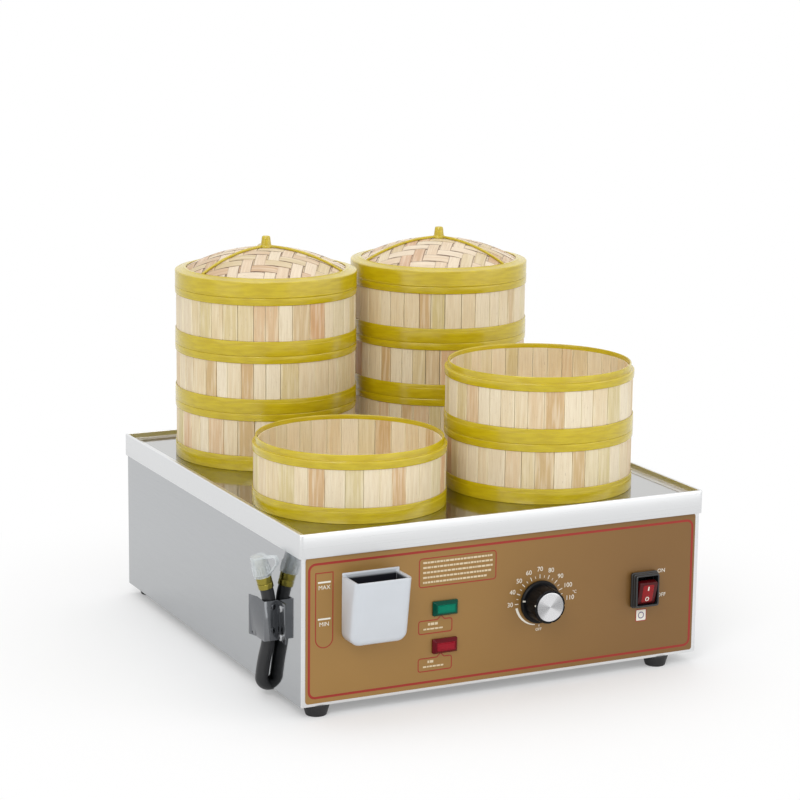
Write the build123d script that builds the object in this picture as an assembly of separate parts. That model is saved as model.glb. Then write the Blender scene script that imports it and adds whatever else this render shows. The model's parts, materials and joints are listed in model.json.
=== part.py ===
from build123d import *
import os
from math import ceil, radians, sqrt, tan

# Electric bun steamer: a steel cabinet that boils water under a tray with four steam holes,
# and the bamboo baskets and lids that stand over the holes.
# Millimetres, +Z up, the control panel faces -Y, and z = 0 is the table that the feet stand on.

os.makedirs("parts", exist_ok=True)

# Tray: the pressed top with its upright rim
rim_width = 460.0
rim_depth = 497.0
rim_skirt = 24.4
rim_corner_radius = 4.0
rim_hem = 3.6
tray_recess = 6.0
tray_sheet = 1.2
steam_hole_radius = 75.0
steam_collar_height = 3.0
steam_hole_pitch_x = 212.0
steam_hole_pitch_y = 248.0

# Cabinet under the tray
cabinet_height = 175.7
rim_overhang = 2.7
shell_sheet = 1.0
shell_flange = 16.0
panel_sheet = 1.0
overlay_thickness = 0.6
overlay_side_margin = 4.5
overlay_bottom_margin = 3.0
overlay_corner_radius = 3.0
base_sheet = 1.2
sheet_gap = 0.2

# Feet and screws
foot_height = 12.0
foot_top_radius = 14.0
foot_bottom_radius = 10.5
foot_inset_left = 21.3
foot_inset_right = 41.3
foot_inset_depth = 12.0
foot_bore_depth = 7.0
foot_bore_clearance = 1.0
screw_radius = 1.95
screw_head_radius = 3.7
screw_head_height = 2.4
screw_tip_length = 4.0
screw_hole_clearance = 0.15
base_screw_inset = 8.0

# Water tank
tank_sheet = 1.0
tank_bottom_height = 75.0
tank_half_width = 200.0
tank_front_gap = 55.0
tank_back_gap = 26.0
tank_flange = 8.0

# Heating element
element_radius = 4.0
element_height = 13.0
element_bend_radius = 22.0
element_terminal_spacing = 60.0
element_terminal_reach = 14.0
element_flange_width = 96.0
element_flange_height = 24.0
element_flange_thickness = 3.0
element_loop_half_width = 150.0
element_inner_half_width = 62.0
element_front_run = 45.0
element_inner_run = 80.0
element_back_run = 40.0

# Thermostat and its knob
knob_x = 37.6
knob_drop = 98.3
knob_skirt_radius = 22.4
knob_skirt_thickness = 4.0
knob_grip_radius = 18.8
knob_grip_tip_radius = 17.6
knob_grip_length = 18.2
knob_flute_count = 9
knob_flute_radius = 4.0
knob_flute_depth = 1.1
knob_gap = 0.5
knob_cap_radius = 15.0
knob_cap_thickness = 1.6
knob_cap_proud = 0.6
knob_cap_gap = 0.1
knob_index_angle = 170.0
knob_index_width = 1.8
knob_index_height = 0.5
shaft_radius = 3.0
shaft_flat = 0.8
shaft_running_gap = 0.05
shaft_depth_in_knob = 16.0
shaft_depth_in_body = 8.0
thermostat_width = 44.0
thermostat_height = 44.0
thermostat_depth = 28.0
thermostat_neck_radius = 5.0
panel_hole_gap = 0.4
probe_tube_radius = 1.0
probe_bulb_radius = 3.5
probe_bulb_length = 90.0
probe_bend_radius = 8.0
probe_wall_height = 150.0
probe_bulb_height = 106.0
probe_drop_depth = 25.0
probe_bulb_start = 25.0

# Rocker switch with its rubber boot
switch_x = 160.6
switch_drop = 98.9
switch_body_width = 25.6
switch_body_height = 32.8
switch_body_depth = 26.0
switch_cavity_width = 22.4
switch_cavity_height = 30.6
switch_cavity_depth = 12.0
switch_bezel_margin = 1.9
switch_bezel_thickness = 1.5
switch_tab_width = 4.8
switch_tab_length = 7.0
switch_tab_thickness = 0.8
boot_width = 31.2
boot_height = 37.6
boot_flange_thickness = 2.6
boot_corner_radius = 2.5
boot_wall = 1.8
boot_step_count = 3
boot_step_height = 3.2
boot_step_inset = 0.8
rocker_width = 21.6
rocker_face_half = 12.4
rocker_face_reach = 12.6
rocker_skirt_reach = 5.2
rocker_root_half = 4.5
rocker_root_reach = 3.0
rocker_taper = 1.0
rocker_tilt = 13.0
rocker_pivot_depth = 2.0
rocker_pin_radius = 1.5
rocker_pin_length = 1.2
rocker_pin_running_gap = 0.05

# Indicator lamps
lamp_x = -71.0
lamp_upper_drop = 91.4
lamp_lower_drop = 130.5
lamp_width = 27.5
lamp_height = 15.0
lamp_lens_height = 5.5
lamp_lens_bevel = 2.2
lamp_body_width = 22.0
lamp_body_height = 10.0
lamp_body_depth = 20.0
lamp_tab_length = 6.0

# Filler box on the front, and the spout that joins it to the tank
filler_x = -153.5
filler_width = 62.0
filler_top_drop = 43.0
filler_bottom_drop = 113.2
filler_back_lip = 3.2
filler_back_thickness = 2.0
filler_wall = 3.6
filler_top_reach = 35.0
filler_bottom_reach = 24.0
filler_corner_radius = 11.0
filler_edge_radius = 8.0
spout_outer_radius = 9.0
spout_bore_radius = 7.5
spout_height = 87.0

# Drain: elbow under the tank, hose up the left side, end fitting and cap
drain_setback = 83.0
drain_pipe_radius = 6.0
drain_pipe_bore = 3.2
drain_barb_radius = 4.6
drain_barb_length = 12.0
drain_elbow_bend = 16.0
drain_pipe_run = 23.4
hose_outer_radius = 6.75
hose_inner_radius = 4.75
hose_start_reach = 42.3
hose_start_rise = 12.0
hose_slot_reach = 13.3
hose_slot_rise = 1.2
hose_turn_reach = 8.0
hose_turn_setback = 0.5
hose_climb_reach = 7.9
hose_climb_setback = 7.8
hose_climb_drop = 25.5
hose_clip_overrun = 0.5
hose_top_reach = 4.5
hose_top_rise = 17.0
hose_top_shift = 0.2
hose_slot_width = 17.0
hose_slot_height = 10.0
hose_slot_run = 49.85
fitting_radius = 7.9
fitting_body_length = 7.0
fitting_groove = 1.0
fitting_ferrule_length = 5.0
fitting_ferrule_gap = 0.1
fitting_barb_length = 9.0
fitting_nozzle_radius = 5.2
fitting_nozzle_length = 15.0
cap_gap = 0.3
cap_length = 21.7
cap_edge_radius = 1.5
cap_base_radius = 9.1
cap_top_radius = 8.2
cap_roof = 2.4
cap_rib_count = 18
cap_rib_radius = 0.7
cap_rib_length = 9.0
strap_ring_height = 2.0
strap_reach = 17.0
strap_width = 4.6
strap_thickness = 1.6
strap_outer_bend = 6.0
strap_top_bend = 2.5
strap_top_inset = 2.0
strap_root = 1.0
strap_direction = -65.0

# Clip that holds the hose against the left side
clip_sheet = 1.2
clip_bottom = 66.5
clip_web_setback = 55.3
clip_height = 41.0
clip_channel = 14.6
clip_hose_gap = 0.35
clip_flange_width = 17.5
clip_cover_width = 21.0
clip_lip_length = 11.5
clip_lip_flare = 3.2
clip_screw_height_low = 5.2
clip_screw_height_high = 34.4
clip_screw_setback = 9.0
clip_lip_hole_radius = 1.0
clip_lip_hole_height = 3.0

# Supply side
gland_x = 150.0
gland_height = 42.0
gland_bore_radius = 4.1
gland_thread_radius = 7.9
gland_flange_radius = 11.0
gland_flange_thickness = 4.0
gland_dome_radius = 9.6
gland_dome_length = 14.0
gland_nut_thickness = 4.5
gland_nut_radius = 11.5
terminal_block_width = 64.0
terminal_block_depth = 22.0
terminal_block_height = 18.0
terminal_block_x = 110.0
terminal_block_back_gap = 62.0
terminal_way_count = 4
terminal_well_radius = 2.6
terminal_well_depth = 6.0
cutout_radius = 8.5
cutout_height = 9.0
cutout_setback = 130.8
cutout_tab_length = 5.0

# Bamboo baskets
basket_radius = 100.3
basket_pitch = 63.0
basket_band_height = 16.3
basket_band_inner = 99.4
basket_recess_radius = 97.5
basket_recess_depth = 7.6
basket_shelf_radius = 90.0
basket_shelf_height = 10.0
basket_top_band_height = 8.1
basket_top_plate = 1.0
basket_spigot_radius = 97.06
basket_spigot_inner = 95.3
basket_spigot_rise = 6.8
basket_wall_outer = 99.3
basket_wall_inner = 93.6
basket_slat_count = 36
basket_lining_radius = 95.2
basket_lining_rise = 2.0
basket_floor_radius = 93.2
basket_floor_thickness = 2.4
basket_floor_slot = 3.0
basket_floor_slot_pitch = 12.0
basket_floor_slot_margin = 9.0

# Lids
lid_ring_height = 17.2
lid_lip_radius = 88.0
lid_lip_rise = 2.8
lid_lip_bead = 3.0
lid_wall_radius = 94.0
lid_sphere_radius = 184.0
lid_dome_lip_rise = 1.492
lid_dome_thickness = 2.0
lid_dome_edge_radius = 93.6
lid_dome_gap = 0.2
lid_rib_count = 3
lid_rib_width = 2.6
lid_rib_height = 2.8
lid_rib_gap = 0.15
lid_rib_grip = 1.2
lid_boss_radius = 7.0
lid_boss_depth = 1.75
lid_peg_radius = 5.7
lid_peg_tip_radius = 4.5
lid_peg_rise = 12.8
lid_peg_edge_radius = 2.0

# Stacks: tiers in each, how far each stands off its hole, and how far each lid is turned
tier_count = {"front_left": 1, "front_right": 2, "rear_left": 3, "rear_right": 3}
stack_shifts = {
    "front_left": (-10.7, 7.7),
    "front_right": (-6.0, 0.0),
    "rear_left": (-1.0, 2.5),
    "rear_right": (-1.0, 0.0),
}
lid_turns = {"rear_left": 76.5, "rear_right": 57.8}

# Heights and faces that several pieces share
rim_top = foot_height + cabinet_height
skirt_bottom = rim_top - rim_skirt
floor_top = rim_top - tray_recess
floor_bottom = floor_top - tray_sheet
body_half_x = rim_width / 2 - rim_overhang
body_half_y = rim_depth / 2 - rim_overhang
face_y = -body_half_y
panel_front = face_y + overlay_thickness
panel_back = panel_front + panel_sheet
side_x = -body_half_x
base_top = foot_height + shell_sheet + base_sheet
tank_front = face_y + tank_front_gap
tank_back = body_half_y - tank_back_gap
element_z = tank_bottom_height + element_height
knob_z = rim_top - knob_drop
switch_z = rim_top - switch_drop
filler_top = rim_top - filler_top_drop
filler_bottom = rim_top - filler_bottom_drop
pivot_y = face_y + rocker_pivot_depth
screw_hole_radius = screw_radius + screw_hole_clearance
drain_y = face_y + drain_setback
clip_web_y = face_y + clip_web_setback
cutout_y = tank_front + cutout_setback

nodes = {}


def block(x0, x1, y0, y1, z0, z1):
    """A box given by its two faces on each axis."""
    return Pos((x0 + x1) / 2, (y0 + y1) / 2, (z0 + z1) / 2) * Box(x1 - x0, y1 - y0, z1 - z0)


def slab(width, depth, z0, z1, corner_radius):
    """A centred plate with rounded upright corners."""
    return Pos(0, 0, z0) * extrude(RectangleRounded(width, depth, corner_radius), amount=z1 - z0)


def rod(radius, start, direction, length):
    """A round bar from a start point along a direction."""
    return Plane(origin=start, z_dir=direction) * Cylinder(
        radius, length, align=(Align.CENTER, Align.CENTER, Align.MIN))


def front_prism(sketch, y_front, y_back):
    """A sketch drawn as seen from the front (x right, y up), stretched between two depths."""
    plane = Plane(origin=(0, y_back, 0), x_dir=(1, 0, 0), z_dir=(0, -1, 0))
    return extrude(plane * sketch, amount=y_back - y_front)


def side_prism(points, x0, x1):
    """An outline of (y, z) points stretched from x0 to x1."""
    plane = Plane(origin=(x0, 0, 0), x_dir=(0, 1, 0), z_dir=(1, 0, 0))
    return extrude(plane * make_face(Polyline(*points, close=True)), amount=x1 - x0)


def turned(points, base_z):
    """A ring turned about the Z axis from an outline of (radius, height) points."""
    outline = make_face(Plane.XZ * Polyline(*points, close=True))
    return Pos(0, 0, base_z) * revolve(outline, Axis.Z)


def tube_along(points, radii, outer_radius, inner_radius=0.0):
    """A round tube or rod along straight runs joined by arcs."""
    path = FilletPolyline(*points, radius=radii)
    section = Plane(origin=path @ 0, z_dir=path % 0)
    tube = sweep(section * Circle(outer_radius), path=path)
    if inner_radius > 0:
        tube -= sweep(section * Circle(inner_radius), path=path)
    return tube


def pan_screw(seat, direction, grip):
    """A pan-head screw: its head stands on the seat, its shank runs along the direction."""
    head = rod(screw_head_radius, Vector(*seat) - Vector(*direction) * screw_head_height,
               direction, screw_head_height)
    return head + rod(screw_radius, seat, direction, grip + screw_tip_length)


# Places that repeat
foot_places = [(x, y * (body_half_y - foot_inset_depth))
               for x in (side_x + foot_inset_left, body_half_x - foot_inset_right) for y in (-1, 1)]
corner_signs = [(x, y) for x in (-1, 1) for y in (-1, 1)]
base_screw_places = [(x * (body_half_x - base_screw_inset), y * body_half_y / 2) for x, y in corner_signs]
hole_centres = [(x * steam_hole_pitch_x / 2, y * steam_hole_pitch_y / 2) for x, y in corner_signs]
lamp_heights = {"green": rim_top - lamp_upper_drop, "red": rim_top - lamp_lower_drop}


# Tray
def make_tray():
    inner_width = rim_width - 2 * rim_hem
    inner_depth = rim_depth - 2 * rim_hem
    tray = slab(rim_width, rim_depth, skirt_bottom, rim_top, rim_corner_radius)
    tray -= slab(inner_width, inner_depth, floor_top, rim_top, rim_corner_radius / 2)
    wall_width = inner_width + 2 * tray_sheet
    wall_depth = inner_depth + 2 * tray_sheet
    under = slab(rim_width - 2 * tray_sheet, rim_depth - 2 * tray_sheet, skirt_bottom,
                 rim_top - tray_sheet, rim_corner_radius - tray_sheet)
    under -= slab(wall_width, wall_depth, floor_bottom, rim_top, rim_corner_radius / 2 + tray_sheet / 2)
    tray -= under
    for x, y in hole_centres:
        collar = Cylinder(steam_hole_radius + tray_sheet, steam_collar_height + tray_sheet,
                          align=(Align.CENTER, Align.CENTER, Align.MIN))
        tray += Pos(x, y, floor_bottom) * collar
        tray -= Pos(x, y, floor_bottom) * Cylinder(steam_hole_radius, 3 * tray_recess)
    return tray


# Cabinet shell: left, back and right walls in one folded sheet with turned-in edges
def make_shell():
    inner_x = body_half_x - shell_sheet
    inner_y = body_half_y - shell_sheet
    lip_x = body_half_x - shell_flange
    lip_y = body_half_y - shell_flange
    shell = block(-body_half_x, body_half_x, panel_back, body_half_y, foot_height, floor_bottom)
    shell -= block(-inner_x, inner_x, panel_back, inner_y, foot_height + shell_sheet, floor_bottom - shell_sheet)
    shell -= block(-lip_x, lip_x, panel_back + shell_flange, lip_y, foot_height, foot_height + shell_sheet)
    shell -= block(-lip_x, lip_x, panel_back, lip_y, floor_bottom - shell_sheet, floor_bottom)
    shell -= block(side_x, side_x + shell_flange, drain_y - hose_slot_width / 2,
                   drain_y + hose_slot_width / 2, foot_height, foot_height + hose_slot_height)
    shell -= rod(gland_thread_radius + sheet_gap, (gland_x, inner_y, gland_height), (0, 1, 0), shell_sheet)
    for x, y in foot_places + base_screw_places:
        shell -= rod(screw_hole_radius, (x, y, foot_height), (0, 0, 1), shell_sheet)
    for z in clip_screw_heights:
        shell -= rod(screw_hole_radius, (side_x, clip_screw_y, z), (1, 0, 0), shell_sheet)
    return shell


# Openings that the front sheet and its overlay share
def panel_cutouts():
    cuts = Pos(knob_x, knob_z) * Circle(thermostat_neck_radius + panel_hole_gap)
    cuts += Pos(switch_x, switch_z) * Rectangle(switch_body_width + panel_hole_gap,
                                                switch_body_height + panel_hole_gap)
    cuts += Pos(filler_x, spout_height) * Circle(spout_outer_radius + panel_hole_gap)
    for z in lamp_heights.values():
        cuts += Pos(lamp_x, z) * Rectangle(lamp_body_width + panel_hole_gap, lamp_body_height + panel_hole_gap)
    return cuts


def make_front_panel():
    height = floor_bottom - foot_height
    outline = Pos(0, foot_height + height / 2) * Rectangle(2 * body_half_x, height)
    return front_prism(outline - panel_cutouts(), panel_front, panel_back)


def make_front_overlay():
    width = 2 * (body_half_x - overlay_side_margin)
    bottom = foot_height + overlay_bottom_margin
    height = skirt_bottom - sheet_gap - bottom
    outline = Pos(0, bottom + height / 2) * RectangleRounded(width, height, overlay_corner_radius)
    return front_prism(outline - panel_cutouts(), face_y, panel_front)


def make_bottom_plate():
    inset = shell_sheet + sheet_gap
    plate = block(-body_half_x + inset, body_half_x - inset, panel_back + inset, body_half_y - inset,
                  foot_height + shell_sheet, base_top)
    plate -= block(side_x, side_x + hose_slot_run, drain_y - hose_slot_width / 2,
                   drain_y + hose_slot_width / 2, foot_height, base_top)
    for x, y in foot_places + base_screw_places:
        plate -= rod(screw_hole_radius, (x, y, foot_height), (0, 0, 1), base_top - foot_height)
    return plate


# Feet
def make_feet():
    cone = Cone(foot_bottom_radius, foot_top_radius, foot_height, align=(Align.CENTER, Align.CENTER, Align.MIN))
    cone -= Cylinder(screw_head_radius + foot_bore_clearance, 2 * foot_bore_depth)
    cone -= Cylinder(screw_hole_radius, 2 * foot_height)
    return [Pos(x, y, 0) * cone for x, y in foot_places]


def make_screws():
    screws = [pan_screw((x, y, foot_bore_depth), (0, 0, 1), base_top - foot_bore_depth) for x, y in foot_places]
    screws += [pan_screw((x, y, foot_height), (0, 0, 1), base_top - foot_height) for x, y in base_screw_places]
    screws += [pan_screw((side_x - clip_sheet, clip_screw_y, z), (1, 0, 0), clip_sheet + shell_sheet)
               for z in clip_screw_heights]
    return screws


# Water tank, hung by its flange from the tray
def make_tank():
    tank = block(-tank_half_width, tank_half_width, tank_front, tank_back, tank_bottom_height, floor_bottom)
    tank += block(-tank_half_width - tank_flange, tank_half_width + tank_flange, tank_front - tank_flange,
                  tank_back + tank_flange, floor_bottom - tank_sheet, floor_bottom)
    tank -= block(-tank_half_width + tank_sheet, tank_half_width - tank_sheet, tank_front + tank_sheet,
                  tank_back - tank_sheet, tank_bottom_height + tank_sheet, floor_bottom)
    for x in element_ends:
        tank -= rod(element_radius + sheet_gap, (x, tank_front, element_z), (0, 1, 0), tank_sheet)
    tank -= rod(spout_bore_radius, (filler_x, tank_front, spout_height), (0, 1, 0), tank_sheet)
    tank -= rod(probe_tube_radius + sheet_gap, (knob_x, tank_front, probe_wall_height), (0, 1, 0), tank_sheet)
    tank -= rod(drain_pipe_bore, (drain_pipe_x, drain_y, tank_bottom_height), (0, 0, 1), tank_sheet)
    return tank


# Heating element: one bent tube brazed into a flange on the tank's front wall
element_ends = (-element_terminal_spacing / 2, element_terminal_spacing / 2)


def make_element():
    inside = tank_front + element_front_run
    far = tank_back - element_back_run
    turn = inside + element_inner_run
    right = [
        (element_ends[1], tank_front - element_terminal_reach, element_z),
        (element_ends[1], inside, element_z),
        (element_loop_half_width, inside, element_z),
        (element_loop_half_width, far, element_z),
        (element_inner_half_width, far, element_z),
        (element_inner_half_width, turn, element_z),
    ]
    left = [(-x, y, z) for x, y, z in reversed(right)]
    tube = tube_along(right + left, element_bend_radius, element_radius)
    flange = block(-element_flange_width / 2, element_flange_width / 2, tank_front - element_flange_thickness,
                   tank_front, element_z - element_flange_height / 2, element_z + element_flange_height / 2)
    return tube + flange


# Thermostat body behind the panel, with a threaded neck through it
def make_thermostat_body():
    body = block(knob_x - thermostat_width / 2, knob_x + thermostat_width / 2, panel_back,
                 panel_back + thermostat_depth, knob_z - thermostat_height / 2, knob_z + thermostat_height / 2)
    body = fillet(body.edges().filter_by(Axis.Y), 2 * shell_sheet)
    body += rod(thermostat_neck_radius, (knob_x, panel_back, knob_z), (0, -1, 0), panel_back - face_y)
    bore_length = shaft_depth_in_body + panel_back - face_y
    body -= rod(shaft_radius + shaft_running_gap, (knob_x, face_y, knob_z), (0, 1, 0), bore_length)
    for x in (-1, 1):
        body += block(knob_x + x * thermostat_width / 4 - switch_tab_width / 2,
                      knob_x + x * thermostat_width / 4 + switch_tab_width / 2,
                      panel_back + thermostat_depth, panel_back + thermostat_depth + switch_tab_length,
                      knob_z - switch_tab_thickness / 2, knob_z + switch_tab_thickness / 2)
    return body


def make_thermostat_probe():
    tube_y = panel_back + thermostat_depth / 2
    drop_y = tank_front + probe_drop_depth
    bulb_y = drop_y + probe_bulb_start
    points = [
        (knob_x, tube_y, knob_z + thermostat_height / 2),
        (knob_x, tube_y, probe_wall_height),
        (knob_x, drop_y, probe_wall_height),
        (knob_x, drop_y, probe_bulb_height),
        (knob_x, bulb_y, probe_bulb_height),
    ]
    tube = tube_along(points, probe_bend_radius, probe_tube_radius)
    return tube + rod(probe_bulb_radius, (knob_x, bulb_y, probe_bulb_height), (0, 1, 0), probe_bulb_length)


def make_knob_shaft():
    start = face_y + shaft_depth_in_body + panel_back - face_y - shaft_running_gap
    length = start - (face_y - knob_gap - shaft_depth_in_knob)
    shaft = rod(shaft_radius, (knob_x, start, knob_z), (0, -1, 0), length)
    flat_top = knob_z + shaft_radius
    shaft -= block(knob_x - shaft_radius, knob_x + shaft_radius, start - length, face_y - knob_gap,
                   flat_top - shaft_flat, flat_top)
    return shaft


def make_knob_grip():
    back = face_y - knob_gap
    origin = (knob_x, back, knob_z)
    plane = Plane(origin=origin, x_dir=(1, 0, 0), z_dir=(0, -1, 0))
    lift = (Align.CENTER, Align.CENTER, Align.MIN)
    grip = Cylinder(knob_skirt_radius, knob_skirt_thickness, align=lift)
    barrel = Cone(knob_grip_radius, knob_grip_tip_radius, knob_grip_length, align=lift)
    flute = Cylinder(knob_flute_radius, knob_grip_length, align=lift)
    for index in range(knob_flute_count):
        turn = 360 / knob_flute_count * index
        reach = knob_grip_tip_radius + knob_flute_radius - knob_flute_depth
        barrel -= Rot(0, 0, turn) * Pos(reach, 0, 0) * flute
    grip += Pos(0, 0, knob_skirt_thickness) * barrel
    top = knob_skirt_thickness + knob_grip_length
    grip -= Pos(0, 0, top - knob_cap_thickness + knob_cap_proud) * Cylinder(
        knob_cap_radius + knob_cap_gap, knob_cap_thickness, align=lift)
    bore = Cylinder(shaft_radius, shaft_depth_in_knob, align=lift)
    bore -= Pos(0, shaft_radius - shaft_flat / 2, shaft_depth_in_knob / 2) * Box(
        2 * shaft_radius, shaft_flat, shaft_depth_in_knob)
    grip -= bore
    index_length = knob_skirt_radius - knob_grip_radius
    index_bar = Pos(knob_grip_radius + index_length / 2, 0, knob_skirt_thickness + knob_index_height / 2) * Box(
        index_length, knob_index_width, knob_index_height)
    grip += Rot(0, 0, knob_index_angle) * index_bar
    return plane * grip


def make_knob_cap():
    front = face_y - knob_gap - knob_skirt_thickness - knob_grip_length - knob_cap_proud
    cap = rod(knob_cap_radius, (knob_x, front + knob_cap_thickness, knob_z), (0, -1, 0), knob_cap_thickness)
    rim = cap.edges().filter_by(GeomType.CIRCLE).sort_by(Axis.Y)[0]
    return chamfer(rim, knob_cap_proud / 2)


# Rocker switch: fixed housing, rocker on two trunnions, rubber boot over the bezel
def make_switch_body():
    bezel = Pos(switch_x, switch_z) * RectangleRounded(
        switch_body_width + 2 * switch_bezel_margin, switch_body_height + 2 * switch_bezel_margin, boot_corner_radius)
    body = front_prism(bezel, face_y - switch_bezel_thickness, face_y)
    core = Pos(switch_x, switch_z) * Rectangle(switch_body_width, switch_body_height)
    body += front_prism(core, face_y - switch_bezel_thickness, face_y + switch_body_depth)
    cavity = Pos(switch_x, switch_z) * Rectangle(switch_cavity_width, switch_cavity_height)
    body -= front_prism(cavity, face_y - switch_bezel_thickness, face_y + switch_cavity_depth)
    body -= rod(rocker_pin_radius + rocker_pin_running_gap,
                (switch_x - switch_body_width / 2, pivot_y, switch_z), (1, 0, 0), switch_body_width)
    for x in (-1, 1):
        for z in (-1, 1):
            tab_x = switch_x + x * switch_body_width / 4
            tab_z = switch_z + z * switch_body_height / 4
            body += block(tab_x - switch_tab_width / 2, tab_x + switch_tab_width / 2,
                          face_y + switch_body_depth, face_y + switch_body_depth + switch_tab_length,
                          tab_z - switch_tab_thickness / 2, tab_z + switch_tab_thickness / 2)
    return body


def make_switch_boot():
    bezel_front = face_y - switch_bezel_thickness
    back = bezel_front
    boot = None
    for step in range(boot_step_count):
        inset = 2 * boot_step_inset * step
        thickness = boot_flange_thickness if step == 0 else boot_step_height
        outline = Pos(switch_x, switch_z) * RectangleRounded(boot_width - inset, boot_height - inset, boot_corner_radius)
        layer = front_prism(outline, back - thickness, back)
        boot = layer if boot is None else boot + layer
        back -= thickness
    window = Pos(switch_x, switch_z) * RectangleRounded(
        boot_width - 2 * boot_step_inset * (boot_step_count - 1) - 2 * boot_wall,
        boot_height - 2 * boot_step_inset * (boot_step_count - 1) - 2 * boot_wall, boot_corner_radius / 2)
    return boot - front_prism(window, back, bezel_front)


def make_rocker():
    half = rocker_face_half
    outline = [
        (-rocker_face_reach, half), (-rocker_face_reach, -half),
        (-rocker_skirt_reach, rocker_taper - half), (-rocker_skirt_reach, -rocker_root_half),
        (rocker_root_reach, -rocker_root_half), (rocker_root_reach, rocker_root_half),
        (-rocker_skirt_reach, rocker_root_half), (-rocker_skirt_reach, half - rocker_taper),
    ]
    rocker = side_prism(outline, -rocker_width / 2, rocker_width / 2)
    rocker += rod(rocker_pin_radius, (-rocker_width / 2 - rocker_pin_length, 0, 0), (1, 0, 0),
                  rocker_width + 2 * rocker_pin_length)
    return Pos(switch_x, pivot_y, switch_z) * Rot(rocker_tilt, 0, 0) * rocker


# Indicator lamps: a bevelled lens in front, a square body and two tabs behind the panel
def make_lamp(height):
    place = Pos(lamp_x, height)
    lens = front_prism(place * Rectangle(lamp_width, lamp_height), face_y - lamp_lens_height, face_y)
    front_edges = lens.faces().sort_by(Axis.Y)[0].edges()
    lens = chamfer(front_edges, lamp_lens_bevel)
    lamp = lens + front_prism(place * Rectangle(lamp_body_width, lamp_body_height), face_y, face_y + lamp_body_depth)
    for x in (-1, 1):
        tab_x = lamp_x + x * lamp_body_width / 4
        lamp += block(tab_x - switch_tab_width / 2, tab_x + switch_tab_width / 2, face_y + lamp_body_depth,
                      face_y + lamp_body_depth + lamp_tab_length,
                      height - switch_tab_thickness / 2, height + switch_tab_thickness / 2)
    return lamp


# Filler box: a hopper that leans out towards its open mouth
def filler_profile(inset, top, bottom):
    """The hopper's side outline, inset from its front face."""
    slope = (filler_top_reach - filler_bottom_reach) / (filler_top - filler_bottom)
    reach_top = filler_bottom_reach + slope * (top - filler_bottom) - inset
    reach_bottom = filler_bottom_reach + slope * (bottom - filler_bottom) - inset
    back = face_y - (filler_back_thickness if inset > 0 else 0)
    return [(back, bottom), (back, top), (face_y - reach_top, top), (face_y - reach_bottom, bottom)]


def filler_outline(inset, top):
    """The hopper's front outline, with rounded lower corners."""
    height = top - filler_bottom - inset
    width = filler_width - 2 * inset
    radius = filler_corner_radius - inset
    centre_z = filler_bottom + inset + height / 2
    tall = Pos(filler_x, centre_z + radius / 2) * Rectangle(width, height - radius)
    low = Pos(filler_x, filler_bottom + inset + radius) * SlotCenterToCenter(width - 2 * radius, 2 * radius)
    return tall + low


def make_filler_box():
    mouth = filler_top - filler_back_lip
    left = filler_x - filler_width / 2
    right = filler_x + filler_width / 2
    hopper = front_prism(filler_outline(0, mouth), face_y - filler_top_reach, face_y)
    hopper &= side_prism(filler_profile(0, mouth, filler_bottom), left, right)
    front_uprights = hopper.faces().sort_by(Axis.Y)[0].edges().filter_by(
        lambda edge: abs((edge % 0.5).X) < 0.2 and edge.length > filler_corner_radius * 2)
    hopper = fillet(front_uprights, filler_edge_radius)
    hollow = front_prism(filler_outline(filler_wall, filler_top), face_y - filler_top_reach, face_y)
    hollow &= side_prism(filler_profile(filler_wall, mouth, filler_bottom), left, right)
    back = front_prism(filler_outline(0, filler_top), face_y - filler_back_thickness, face_y)
    box = hopper - hollow + back
    return box - rod(spout_bore_radius, (filler_x, face_y, spout_height), (0, -1, 0), filler_back_thickness)


def make_filler_spout():
    length = tank_front - face_y
    spout = rod(spout_outer_radius, (filler_x, face_y, spout_height), (0, 1, 0), length)
    return spout - rod(spout_bore_radius, (filler_x, face_y, spout_height), (0, 1, 0), length)


# Drain route: out through the slot in the left side, round, and up behind the clip
drain_pipe_x = side_x + hose_start_reach + drain_pipe_run
clip_hose_x = side_x - hose_outer_radius - clip_hose_gap
clip_hose_y = clip_web_y + clip_sheet + clip_hose_gap + hose_outer_radius
clip_screw_y = clip_web_y - clip_screw_setback
clip_screw_heights = (clip_bottom + clip_screw_height_low, clip_bottom + clip_screw_height_high)
hose_route = [
    (side_x + hose_start_reach, drain_y, foot_height + hose_start_rise),
    (side_x + hose_slot_reach, drain_y, foot_height + hose_slot_rise),
    (side_x - hose_turn_reach, drain_y - hose_turn_setback, foot_height + hose_slot_rise),
    (side_x - hose_climb_reach, drain_y - hose_climb_setback, clip_bottom - hose_climb_drop),
    (clip_hose_x, clip_hose_y, clip_bottom - hose_clip_overrun),
    (clip_hose_x, clip_hose_y + hose_top_shift, clip_bottom + clip_height + hose_clip_overrun),
    (clip_hose_x - hose_top_reach, clip_hose_y, clip_bottom + clip_height + hose_top_rise),
]


def route_radii(route):
    """Each corner's arc: 0.45 of its shorter run over the tangent of half its turn."""
    radii = []
    for before, corner, after in zip(route, route[1:], route[2:]):
        run_in = Vector(*corner) - Vector(*before)
        run_out = Vector(*after) - Vector(*corner)
        half_turn = radians(run_in.get_angle(run_out)) / 2
        radii.append(0.45 * min(run_in.length, run_out.length) / tan(half_turn))
    return radii


hose_radii = route_radii(hose_route)
hose_start = Vector(*hose_route[0])
hose_start_direction = (Vector(*hose_route[1]) - hose_start).normalized()
hose_end = Vector(*hose_route[-1])
hose_end_direction = (hose_end - Vector(*hose_route[-2])).normalized()


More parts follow.
